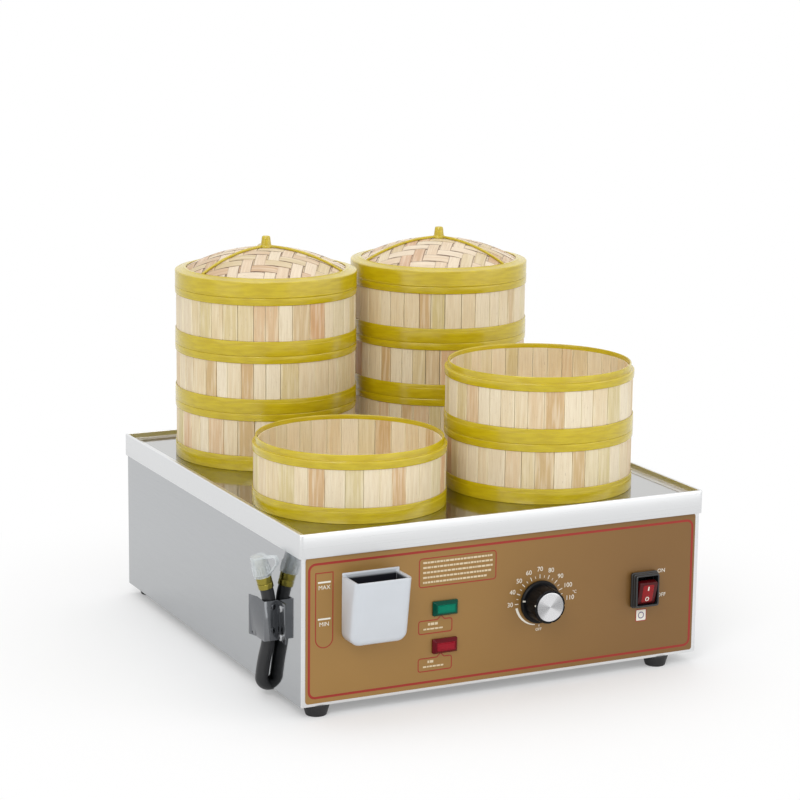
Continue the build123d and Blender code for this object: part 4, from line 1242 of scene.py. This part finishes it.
@dataclass
class Lamp:
    """One indicator lamp: a bevelled frame round a sunk window."""

    node: str
    tone: Colour
    # The lens's painted shade towards its edges
    edge: Colour
    width: float = 27.5
    height: float = 15.0
    proud: float = 5.5
    bevel: float = 2.6
    sunk: float = 0.7
    body: tuple[float, float, float] = (22.0, 10.0, 20.0)
    prong_x: float = 5.5
    prong: Vector = field(default_factory=lambda: Vector((2.4, 6.0, 0.4)))

    def build(self) -> None:
        """Makes the lens over the panel and the body with its two prongs behind it."""
        centre = node_centre(self.node)
        centre.y = FACE_Y
        half_width, half_height = self.width / 2 - self.bevel, self.height / 2 - self.bevel
        finish = Lens(self.node + "_lens", self.tone, self.edge, half_width, half_height)
        shoulder, pane = self.proud - self.bevel, self.proud - self.sunk
        levels = [
            (0.0, 0.0, 1.0), (0.0, shoulder - 0.6, 1.0), (0.5, shoulder, 1.0),
            (self.bevel - 0.3, self.proud - 0.1, 0.7), (self.bevel, self.proud, 0.6),
            (self.bevel + 0.5, self.proud, 0.5), (self.bevel + 1.1, pane, 0.4),
            (self.bevel + 2.0, pane, 0.4), (self.bevel + 2.3, self.proud - 0.3, 0.4)]
        lamp = Solid().loft([facing(rectangle(self.width - 2 * step, self.height - 2 * step, radius, 4), lift)
                             for step, lift, radius in levels])
        width, height, depth = self.body
        lamp.loft([facing(rectangle(width, height, 0.0), -back) for back in (0.0, depth)])
        for side in (-self.prong_x, self.prong_x):
            root = Vector((side, depth, 0.0))
            lamp.bar(root - Vector((self.prong.x, 0.0, self.prong.z)), root + self.prong)
        slot = self.node.replace("_lamp", "_lens")
        lamp.piece(self.node + "_unit", "machine", finish, slot, centre, [self.node], 24.0)


@dataclass
class Knob:
    """The thermostat's knob: dished skirt, fluted grip, index lines and a spun cap."""

    skirt_radius: float = 22.4
    skirt: float = 4.0
    grip_radius: float = 18.8
    tip_radius: float = 17.6
    length: float = 18.2
    edge_from: float = 16.6
    rises: tuple[float, ...] = (0.0, 1.0, 3.0, 6.0, 10.0, 14.0, 16.4, 17.3, 17.9, 18.2)
    seat: tuple[tuple[float, float], ...] = ((15.25, 0.0), (15.1, 0.9))
    gap: float = 0.5
    index_angle: float = 170.0
    index_width: float = 1.6
    flutes: int = 9
    flute_depth: float = 0.9
    steps: int = 216
    cap_steps: int = 96

    def _radius(self, angle: float, lift: float) -> float:
        """The grip's radius at an angle and a height: shallow flutes fade in above the skirt."""
        rise = lift / self.length
        base = self.grip_radius + (self.tip_radius - self.grip_radius) * rise
        wave = max(0.0, math.cos(self.flutes * angle)) ** 6
        edge = 0.25 * max(0.0, lift - self.edge_from) ** 2
        return base - self.flute_depth * wave * min(1.0, rise * 3) - edge

    def build(self) -> None:
        """Makes the grip, its lines and its cap."""
        at = node_centre("knob_grip")
        at.y = FACE_Y - self.gap
        rim = self.skirt_radius
        skirt = ((rim - 1.2, 0.0), (rim, 0.8), (rim, 2.4), (rim - 0.5, 3.2), (rim - 1.4, self.skirt))
        rings = [facing(circle(radius, self.steps), lift) for radius, lift in skirt]
        for rise in self.rises:
            loop = [ray(turn) * self._radius(turn, rise) for turn in around(self.steps)]
            rings.append(facing(loop, self.skirt + rise))
        top = self.skirt + self.length
        rings += [facing(circle(radius, self.steps), top - sink) for radius, sink in self.seat]
        grip = Solid().loft(rings)
        grip.piece("knob_moulding", "knob", KNOB_PLASTIC, "knob_plastic", at, ["knob_grip"], FINE_CREASE)
        self._lines(at)
        self._cap()

    def _lines(self, at: Vector) -> None:
        """White index lines on the skirt and on the grip's front edge."""
        along = ray(math.radians(self.index_angle))
        side = Vector((-along.y, along.x))
        lines = Solid()
        for reach, lift, length, depth in ((20.6, 3.7, 2.8, 0.9), (self.tip_radius - 0.95, 16.9, 1.9, 5.2)):
            corners = rectangle(length, self.index_width, 0.0)
            loop = [along * (reach + p.x) + side * p.y for p in corners]
            lines.loft([facing(loop, lift + rise) for rise in (0.0, depth)])
        lines.piece("knob_index", "knob", INKS[Ink.WHITE], "knob_plastic", at)

    def _cap(self) -> None:
        """The aluminium disc with a turned edge."""
        low, high = node_box("knob_cap")
        radius, thick = (high.x - low.x) / 2, high.y - low.y
        edge = ((radius, 0.0), (radius, thick - 0.4), (radius - 0.12, thick - 0.15), (radius - 0.45, thick),
                (radius - 0.9, thick - 0.02), (0.4, thick - 0.02))
        disc = Solid().loft([facing(circle(reach, self.cap_steps), lift) for reach, lift in edge])
        disc.piece("knob_disc", "knob", ALUMINIUM, "spun_aluminium", back_centre("knob_cap"), ["knob_cap"],
                   PRINT_CREASE)


@dataclass
class Switch:
    """The rocker switch: stepped rubber boot, rocker with a red window and its two marks."""

    boot: tuple[float, float] = (31.2, 37.6)
    boot_radius: float = 2.5
    window: tuple[float, float] = (24.4, 30.8)
    window_radius: float = 1.3
    rocker: tuple[float, float] = (21.6, 24.8)
    root: float = 9.0
    pane: tuple[float, float] = (13.0, 19.6)
    pivot_depth: float = 2.0
    pin_radius: float = 1.5
    reach: float = 12.6
    tilt: float = 13.0
    mark: float = 0.15

    def build(self) -> None:
        """Makes the boot and the rocker."""
        self._boot()
        across, height = node_centre("switch_rocker").x, node_centre("switch_body").z
        pivot = Vector((across, FACE_Y + self.pivot_depth, height))
        self._rocker(pivot)
        self._pane(pivot)
        self._marks(pivot)

    def _boot(self) -> None:
        """Steps of soft rubber round the window."""
        low, high = node_box("switch_boot")
        depth = high.y - low.y
        steps = [(0.0, 0.0), (0.0, 2.2), (0.35, 2.6), (0.8, 2.7), (0.8, 5.4), (1.1, 5.8), (1.6, 5.9),
                 (1.6, depth - 0.5), (2.0, depth)]
        width, height = self.boot
        rings = [facing(rectangle(width - 2 * step, height - 2 * step, self.boot_radius, 6), lift)
                 for step, lift in steps]
        width, height = self.window
        rings += [facing(rectangle(width + 2 * grow, height + 2 * grow, self.window_radius, 6), lift)
                  for grow, lift in ((0.3, depth), (0.0, depth - 0.3), (0.0, 0.0))]
        boot = Solid().loft(rings, True)
        boot.piece("switch_cover", "machine", BOOT_RUBBER, "black_rubber", back_centre("switch_boot"),
                   ["switch_boot"], FINE_CREASE)

    def _tilted(self, outline: Sequence[Vector], out: float) -> list[Vector]:
        """An outline on the rocker, tilted to its rest."""
        turn = Quaternion((1, 0, 0), math.radians(self.tilt))
        return [turn @ p for p in facing(outline, out)]

    def _rocker(self, pivot: Vector) -> None:
        """The tilted rocker with its root and its two pins."""
        width, height = self.rocker
        face = self.reach
        levels = ((1.0, 5.2), (0.0, 6.0), (0.0, face - 1.1), (0.35, face - 0.35), (1.1, face))
        body = Solid().loft([
            self._tilted(rectangle(width - 2 * step, height - 2 * step, 2.0 - 0.8 * min(1.0, step), 5), out)
            for step, out in levels])
        body.loft([self._tilted(rectangle(width, self.root, 0.5, 3), out) for out in (5.3, -3.0)])
        pin = circle(self.pin_radius, 24)
        for side in (-1, 1):
            ends = (width / 2 - 0.5, width / 2 + 1.2)
            body.loft([[Vector((side * x, p.x, p.y)) for p in pin] for x in ends])
        body.piece("rocker_moulding", "rocker", ROCKER_EDGE, "red_plastic", pivot, ["switch_rocker"],
                   FINE_CREASE)

    def _pane(self, pivot: Vector) -> None:
        """The red window that stands a little out of the rocker."""
        width, height = self.pane
        rings = [self._tilted(rectangle(width - 2 * step, height - 2 * step, 1.6, 5), self.reach + out)
                 for step, out in ((0.0, -0.2), (0.0, 0.12), (0.35, 0.22))]
        window = Solid().loft(rings)
        window.piece("rocker_window", "rocker", ROCKER_WINDOW, "red_plastic", pivot, (), FINE_CREASE)

    def _marks(self, pivot: Vector) -> None:
        """The white bar and ring on the window."""

        def stand(p: Vector, lift: float) -> Vector:
            """A point of the rocker's face, lifted off it."""
            return self._tilted([p], self.reach + 0.2 + lift)[0]

        marks = Solid()
        marks.inked(moved(rectangle(1.5, 4.6, 0.2, 2), Vector((0, 5.8))), self.mark, stand)
        ring = [Vector((2.3 * p.x, 2.5 * p.y - 6.2)) for p in circle(1.0, 36)]
        marks.inked(ring, self.mark, stand, 0.9)
        marks.piece("rocker_marks", "rocker", INKS[Ink.WHITE], "red_plastic", pivot)


@dataclass
class Tier:
    """What a basket and a lid share: the hoop's outside and the recess that takes the tier below."""

    name: str
    seed: int
    outer: float = 100.3
    recess: float = 97.5
    recess_depth: float = 7.6


@dataclass
class Strip:
    """A bamboo strip's tone and its start along the fibres."""

    tone: int
    shift: float

    @classmethod
    def drawn(cls, chance: random.Random) -> "Strip":
        """Draws a strip."""
        return cls(chance.randint(0, TONES), chance.uniform(0, FIBRE_RUN))

    def note(self, across: float, along: float, side: float) -> Vector:
        """What the mesh keeps at a point; side runs from -1 to 1 over the strip's width."""
        return Vector((across + self.shift, along + self.shift, self.tone + EDGE_REACH * side))


@dataclass
class Basket(Tier):
    """One tier: two plastic hoops, a wall of bamboo slats and a slatted floor."""

    pitch: float = 63.0
    band: float = 16.3
    band_inner: float = 99.4
    shelf: float = 90.0
    shelf_top: float = 10.0
    top_band: float = 8.1
    plate: float = 1.0
    spigot: float = 97.06
    spigot_inner: float = 95.3
    spigot_rise: float = 6.8
    wall_outer: float = 99.2
    wall_inner: float = 96.6
    lining_outer: float = 95.15
    lining_inner: float = 93.65
    lining_rise: float = 2.0
    slat_width: float = 17.3
    slat_spread: tuple[float, float] = (0.72, 1.22)
    slat_gap: float = 0.4
    slat_ease: float = 0.5
    floor_radius: float = 93.1
    floor_slat: float = 9.0
    floor_pitch: float = 12.0
    floor_thick: float = 2.4
    floor_edge: float = 4.0
    batten_half: float = 6.0
    batten_places: tuple[float, float] = (-0.45, 0.45)
    seat_gap: float = 0.05
    ease: float = 0.35

    def build(self) -> None:
        """Makes the three pieces."""
        at = seat_centre(self.name + "_hoops")
        chance = random.Random(self.seed)
        self._hoops(at)
        self._wall(at, chance)
        self._floor(at, chance)

    def _hoops(self, at: Vector) -> None:
        """The bottom band with its shelf and the top band with its spigot."""
        bottom = rounded([
            (self.recess, 0, 0.4), (self.outer, 0, 0.7), (self.outer, self.band - 4.6, 0.2),
            (self.outer - 0.25, self.band - 4.4, 0.2), (self.outer - 0.15, self.band, 0.7),
            (self.band_inner, self.band, 0.3), (self.band_inner, self.shelf_top, 0.3),
            (self.shelf, self.shelf_top, 0.4), (self.shelf, self.recess_depth, 0.4),
            (self.recess, self.recess_depth, 0.3),
        ], 3)
        plate = self.pitch - self.plate
        rise = self.pitch + self.spigot_rise
        top = rounded([
            (self.outer - 0.2, self.pitch - self.top_band, 0.7), (self.outer, self.pitch - 3.4, 0.2),
            (self.outer, self.pitch, 0.9), (self.spigot, self.pitch, 0.4), (self.spigot, rise, 0.8),
            (self.spigot_inner, rise, 0.8), (self.spigot_inner, plate, 0.4), (self.band_inner, plate, 0.3),
            (self.band_inner, self.pitch - self.top_band, 0.3),
        ], 3)
        hoops = Solid().turned(bottom).turned(top)
        hoops.piece(self.name + "_bands", self.name, HOOPS, "hoop_plastic", at, [self.name + "_hoops"],
                    ROUND_CREASE)

    def _wall(self, at: Vector, chance: random.Random) -> None:
        """Slats round the tier, and a thinner lining that shows inside the mouth."""
        wall = Solid()
        top = self.pitch - self.plate - self.seat_gap
        self._slats(wall, (self.wall_inner, self.wall_outer), top, chance)
        self._slats(wall, (self.lining_inner, self.lining_outer), self.pitch + self.lining_rise, chance)
        wall.piece(self.name + "_slats", self.name, BAMBOO, "bamboo", at, [self.name + "_wall"], FINE_CREASE)

    def _slats(self, wall: Solid, radii: tuple[float, float], top: float, chance: random.Random) -> None:
        """Adds a ring of slats of uneven width, tone and set.

        Args:
            wall: the solid that they join.
            radii: the ring's inner and outer radius.
            top: their upper end.
            chance: the source of their unevenness.
        """
        widths: list[float] = []
        length = 2 * math.pi * radii[1]
        while sum(widths) < length - self.slat_width * 0.6:
            widths.append(chance.uniform(*self.slat_spread) * self.slat_width)
        share = length / sum(widths)
        start = chance.uniform(0, 2 * math.pi)
        for width in widths:
            sweep = width * share / radii[1]
            ends = (self.shelf_top + self.seat_gap, top)
            self._slat(wall, (start, start + sweep), radii, ends, chance)
            start += sweep

    def _slat(self, wall: Solid, turns: tuple[float, float], radii: tuple[float, float],
              ends: tuple[float, float], chance: random.Random) -> None:
        """Adds one slat: a slightly crowned plate with eased edges.

        Args:
            wall: the solid that it joins.
            turns: the angles where it starts and ends.
            radii: its inner and outer radius.
            ends: its lower and upper end.
            chance: the source of its unevenness.
        """
        inner, outer = radii
        gap = chance.uniform(0.15, 1.0) * self.slat_gap / outer
        ease = self.slat_ease / outer
        outer += chance.uniform(-0.2, 0.0)
        first, last = turns[0] + gap, turns[1] - gap
        crown, side = outer - 0.08, outer - self.slat_ease
        section = [(first, inner), (first, side), (first + ease, crown)]
        section += [(first + (last - first) * share, outer) for share in (0.3, 0.5, 0.7)]
        section += [(last - ease, crown), (last, side), (last, inner)]
        section += [(first + (last - first) * share, inner) for share in (0.67, 0.33)]
        strip = Strip.drawn(chance)
        middle, half = (first + last) / 2, (last - first) / 2
        loop = [ray(turn) * radius for turn, radius in section]
        notes = [[strip.note((turn - first) * outer, z, (turn - middle) / half) for turn, radius in section]
                 for z in ends]
        wall.loft([level(loop, z) for z in ends], False, notes)

    def _floor(self, at: Vector, chance: random.Random) -> None:
        """Floor slats across the tier, on two battens."""
        floor = Solid()
        top = self.shelf_top + self.floor_thick
        count = int(self.floor_radius / self.floor_pitch)
        half = self.floor_slat / 2
        for index in range(-count, count + 1):
            middle = index * self.floor_pitch + self.floor_pitch / 2
            far = abs(middle) + half
            if far > self.floor_radius - self.floor_edge:
                continue
            reach = math.sqrt(self.floor_radius ** 2 - far ** 2)
            self._strip(floor, middle, half, reach, (self.shelf_top, top), chance, True)
        for place in self.batten_places:
            middle = place * self.floor_radius
            reach = math.sqrt((self.shelf - 0.6) ** 2 - (abs(middle) + self.batten_half) ** 2)
            heights = (self.recess_depth + 0.4, self.shelf_top)
            self._strip(floor, middle, self.batten_half, reach, heights, chance, False)
        floor.piece(self.name + "_floor_slats", self.name, BAMBOO, "bamboo", at, [self.name + "_floor"],
                    FINE_CREASE)

    def _strip(self, solid: Solid, middle: float, half: float, reach: float, heights: tuple[float, float],
               chance: random.Random, along_x: bool) -> None:
        """Adds a straight strip whose fibres run along its length.

        Args:
            solid: the solid that it joins.
            middle: where its middle line lies.
            half: half its width.
            reach: half its length.
            heights: its underside and its top.
            chance: the source of its unevenness.
            along_x: True where it runs along X, else along Y.
        """
        strip = Strip.drawn(chance)
        low, high = heights
        corners = ((middle - half, low), (middle + half, low), (middle + half, high), (middle - half, high))
        section = rounded([(across, z, self.ease) for across, z in corners], 2)
        rings = []
        notes = []
        for end in (-reach, reach):
            rings.append([Vector((end, p.x, p.y)) if along_x else Vector((p.x, end, p.y)) for p in section])
            notes.append([strip.note(p.x, end, (p.x - middle) / half) for p in section])
        solid.loft(rings, False, notes)


@dataclass
class Lid(Tier):
    """A lid: plastic ring with a stepped lip, woven dome, three ribs and a peg."""

    turn: float = 0.0
    weave_turn: float = 0.0
    ring: float = 17.2
    wall: float = 94.0
    lip_inner: float = 88.0
    lip_rise: float = 2.8
    sphere: float = 184.0
    dome_rise: float = 23.9
    dome_edge: float = 93.3
    strip_width: float = 13.6
    strip_gap: float = 0.5
    strip_thick: float = 0.6
    lift: float = 0.62
    weave_crease: float = 32.0
    lining: tuple[float, float] = (1.55, 2.0)
    lining_steps: tuple[float, ...] = (0.02, 0.15, 0.3, 0.45, 0.6, 0.75, 0.88, 0.96, 1.0)
    rib_count: int = 3
    rib_stations: int = 25
    rib_width: float = 2.6
    rib_height: float = 2.7
    peg: tuple[tuple[float, float], ...] = (
        (7.0, -0.2), (6.95, 1.7), (6.5, 2.5), (5.7, 2.8), (5.55, 4.2), (5.0, 8.6), (4.62, 11.4), (4.2, 12.2),
        (3.4, 12.65), (1.8, 12.8))

    def build(self) -> None:
        """Makes the frame, the weave and its lining."""
        at = seat_centre(self.name + "_frame")
        self._frame(at)
        self._weave(at)

    def _height(self, x: float, y: float, drop: float = 0.0) -> float:
        """The dome's height over a point, with the sphere shrunk by a drop."""
        reach = math.sqrt(max(0.0, (self.sphere - drop) ** 2 - x * x - y * y))
        return self.ring + self.dome_rise - self.sphere + reach

    def _frame(self, at: Vector) -> None:
        """The ring, the ribs over the dome, their boss and the peg."""
        outer, ring, lip = self.outer, self.ring, self.lip_inner
        lip_top = ring + self.lip_rise
        section = rounded([
            (self.recess, 0, 0.4), (outer, 0, 0.7), (outer, 1.4, 0.15), (outer - 0.22, 1.6, 0.15),
            (outer - 0.05, ring, 1.3), (outer - 3.0, ring + 0.8, 0.2), (outer - 3.3, ring + 0.6, 0.2),
            (lip + 3.2, lip_top - 0.4, 0.3), (lip + 2.9, lip_top, 0.4), (lip, lip_top, 0.4),
            (lip, self._height(lip, 0) + 0.2, 0.2), (self.wall, self._height(self.dome_edge, 0) + 0.2, 0.3),
            (self.wall, self.recess_depth, 0.4), (self.recess, self.recess_depth, 0.3),
        ], 3)
        solid = Solid().turned(section)
        for index in range(self.rib_count):
            self._rib(solid, math.radians(self.turn + 360 / self.rib_count * index))
        apex = ring + self.dome_rise
        solid.loft([level(circle(radius, 48), apex + rise) for radius, rise in self.peg])
        solid.piece(self.name + "_ring", self.name, HOOPS, "hoop_plastic", at, [self.name + "_frame"],
                    ROUND_CREASE)

    def _rib(self, solid: Solid, turn: float) -> None:
        """One rib, bent over the dome from its middle to the lip."""
        reach = self.lip_inner + 0.8
        half = self.rib_width / 2
        out = ray(turn)
        side = Vector((-out.y, out.x))
        rings = []
        for station in range(self.rib_stations):
            along = reach * station / (self.rib_stations - 1)
            low = self._height(along, 0) + 0.15
            top = low + self.rib_height
            section = rounded([(-half, low, 0.3), (half, low, 0.3), (half, top, 0.8), (-half, top, 0.8)], 2)
            rings.append([Vector((*(out * along + side * p.x), p.y)) for p in section])
        solid.loft(rings)

    def _over(self, weave: Weave, row: int, column: int) -> bool:
        """Whether a strip passes over at a crossing of the twill."""
        over = (row + column) % 4 < 2
        return over if weave is Weave.ACROSS else not over

    def _weave(self, at: Vector) -> None:
        """Two sets of strips, each over two and under two, on a thin lining."""
        chance = random.Random(self.seed)
        dome = Solid()
        count = int(self.dome_edge / self.strip_width) + 1
        for weave in Weave:
            for row in range(-count, count + 1):
                self._woven_strip(dome, weave, row, chance)
        rings = []
        cuts = [self.dome_edge * share for share in self.lining_steps]
        for drop, radii in zip(self.lining, (cuts, cuts[::-1])):
            rings += [level(circle(radius, 96), self._height(radius, 0, drop)) for radius in radii]
        dome.loft(rings, False, [level(ring, 0) for ring in rings])
        dome.piece(self.name + "_weave", self.name, WEAVE, "bamboo", at, [self.name + "_dome"],
                   self.weave_crease)

    def _woven_strip(self, dome: Solid, weave: Weave, row: int, chance: random.Random) -> None:
        """Adds one strip that waves over and under the others.

        Args:
            dome: the solid that it joins.
            weave: which way it runs.
            row: its place among its neighbours.
            chance: the source of its unevenness.
        """
        half = (self.strip_width - self.strip_gap) / 2 * chance.uniform(0.93, 1.0)
        middle = row * self.strip_width + chance.uniform(-0.25, 0.25)
        far = abs(middle) + half
        if far >= self.dome_edge - 3:
            return
        reach = math.sqrt(self.dome_edge ** 2 - far ** 2)
        strip = Strip.drawn(chance)
        out = ray(math.radians(self.weave_turn))
        side = Vector((-out.y, out.x))
        thick, top = self.strip_thick, half * 0.96
        stations = max(4, int(8 * reach / self.strip_width))
        rings = []
        notes = []
        for station in range(stations + 1):
            along = -reach + 2 * reach * station / stations
            place = along / self.strip_width
            near, share = math.floor(place), place - math.floor(place)
            first, second = self._over(weave, row, near), self._over(weave, row, near + 1)
            wave = share * share * (3 - 2 * share)
            raised = (1 - wave) * first + wave * second
            drop = thick + (1 - raised) * self.lift
            ring = []
            note = []
            for across, up in ((-half, 0.0), (half, 0.0), (top, thick), (-top, thick)):
                x, y = (along, middle + across) if weave is Weave.ACROSS else (middle + across, along)
                ring.append(Vector((*(out * x + side * y), self._height(x, y, drop) + up)))
                note.append(strip.note(across, along, across / half))
            rings.append(ring)
            notes.append(note)
        dome.loft(rings, False, notes)


@dataclass
class Fasteners:
    """Pan-head screws with a cross recess, drawn as a black cross of painted shade, where the CAD has them.
    """

    head: float = 3.7
    rise: float = 2.4
    shank: float = 1.95
    cross: float = 4.2
    slot: float = 0.9

    def build(self) -> None:
        """Finds each screw's island in the node and makes a dressed screw there."""
        source = frame["nodes"]["screws"].data
        work = bmesh.new()
        work.from_mesh(source)
        bmesh.ops.remove_doubles(work, verts=work.verts, dist=WELD)
        screws = Solid()
        marks = Solid()
        seen: set[int] = set()
        for vert in work.verts:
            if vert.index in seen:
                continue
            island = self._island(vert, seen)
            low, high = (Vector([end(v.co[axis] for v in island) for axis in range(3)]) / MM
                         for end in (min, max))
            self._screw(screws, marks, low, high)
        work.free()
        screws.piece("screw_set", "machine", SCREW_STEEL, "screw_steel", Vector(), ["screws"], FINE_CREASE)
        # The black crosses are painted shade for the recess in each head
        marks.piece("screw_recess_shade", "machine", BLACK_PLASTIC, "screw_steel", Vector())

    def _island(self, start: bmesh.types.BMVert, seen: set[int]) -> list[bmesh.types.BMVert]:
        """All the points joined to one."""
        found = [start]
        seen.add(start.index)
        for vert in found:
            for edge in vert.link_edges:
                other = edge.other_vert(vert)
                if other.index not in seen:
                    seen.add(other.index)
                    found.append(other)
        return found

    def _screw(self, screws: Solid, marks: Solid, low: Vector, high: Vector) -> None:
        """Adds one screw between two corners, with its head at the low end."""
        size = high - low
        upright = size.z > size.x
        centre = (low + high) / 2
        base = Vector((centre.x, centre.y, low.z)) if upright else Vector((low.x, centre.y, centre.z))
        length = size.z if upright else size.x

        def stood(outline: Sequence[Vector], along: float) -> list[Vector]:
            """An outline across the screw at a distance from its head's face."""
            return [base + Vector((p.x, p.y, along) if upright else (along, p.x, p.y)) for p in outline]

        profile = [(0.0, 2.2), (0.12, 2.9), (0.6, 3.5), (1.3, self.head), (self.rise, self.head),
                   (self.rise, self.shank), (length - 0.6, self.shank), (length, self.shank - 0.6)]
        screws.loft([stood(circle(radius, 32), along) for along, radius in profile])
        # A black cross on the head, painted shade for the cross recess
        for width, height in ((self.cross, self.slot), (self.slot, self.cross)):
            marks.loft([stood(rectangle(width, height, 0.0), along) for along in (-0.04, 0.5)])


# Each lid's rib turn and weave turn, in degrees
LID_TURNS = {"rear_left_lid": (76.5, 60.0), "rear_right_lid": (57.8, 55.0)}
PANEL_BODIES = ("machine", "knob", "rocker", "cap")
CAD_FINISHES: dict[str, Finish] = {
    "body_shell": MIRROR_STEEL,
    "front_panel": BRUSHED_RIM,
    "front_overlay": BRONZE,
    "bottom_plate": INNER_STEEL,
    "water_tank": INNER_STEEL,
    "filler_spout": INNER_STEEL,
    "heating_element": DARK_STEEL,
    "thermostat_body": BLACK_PLASTIC,
    "thermostat_probe": BRASS,
    "knob_shaft": SCREW_STEEL,
    "switch_body": BLACK_PLASTIC,
    "drain_elbow": BRASS,
    "drain_hose": HOSE_RUBBER,
    "terminal_block": IVORY,
    "dry_boil_cutout": BLACK_PLASTIC,
}


def dress_nodes() -> None:
    """Gives each node that shows as it is its finish."""
    for node, finish in CAD_FINISHES.items():
        for slot in frame["nodes"][node].material_slots:
            slot.material = finish.material()


def main() -> None:
    """Builds the looks."""
    logging.basicConfig(level=logging.INFO, format="%(name)s: %(message)s")
    bpy.context.scene.view_settings.view_transform = "Standard"
    Studio().build()
    dress_nodes()
    Tray().build()
    Panel().build()
    Lamp("green_lamp", srgb(0, 128, 100), srgb(0, 72, 56)).build()
    Lamp("red_lamp", srgb(158, 30, 44), srgb(98, 10, 22)).build()
    Knob().build()
    Switch().build()
    Fasteners().build()
    # Its dark colour is painted shade inside the filler's mouth
    white = Hopper("white_plastic", srgb(206, 211, 217), srgb(30, 30, 36), *node_box("filler_box"))
    softened("filler_hopper", "filler_box", 0.9, white)
    softened("hose_clip_sheet", "hose_clip", 0.25, CLIP_STEEL)
    softened("hose_end", "hose_fitting", 0.3, BRASS)
    softened("drain_cap_shell", "drain_cap", 0.35, CLEAR_CAP, "cap")
    softened("feet_rubber", "feet", 0.8, RUBBER)
    softened("cord_gland_shell", "cord_gland", 0.4, BLACK_PLASTIC)
    tiers = sorted(name for name in frame["bodies"] if name not in PANEL_BODIES)
    for seed, body in enumerate(tiers):
        if body.endswith("_lid"):
            turn, weave_turn = LID_TURNS[body]
            Lid(body, seed, turn=turn, weave_turn=weave_turn).build()
        else:
            Basket(body, seed).build()


if __name__ == "__main__":
    main()
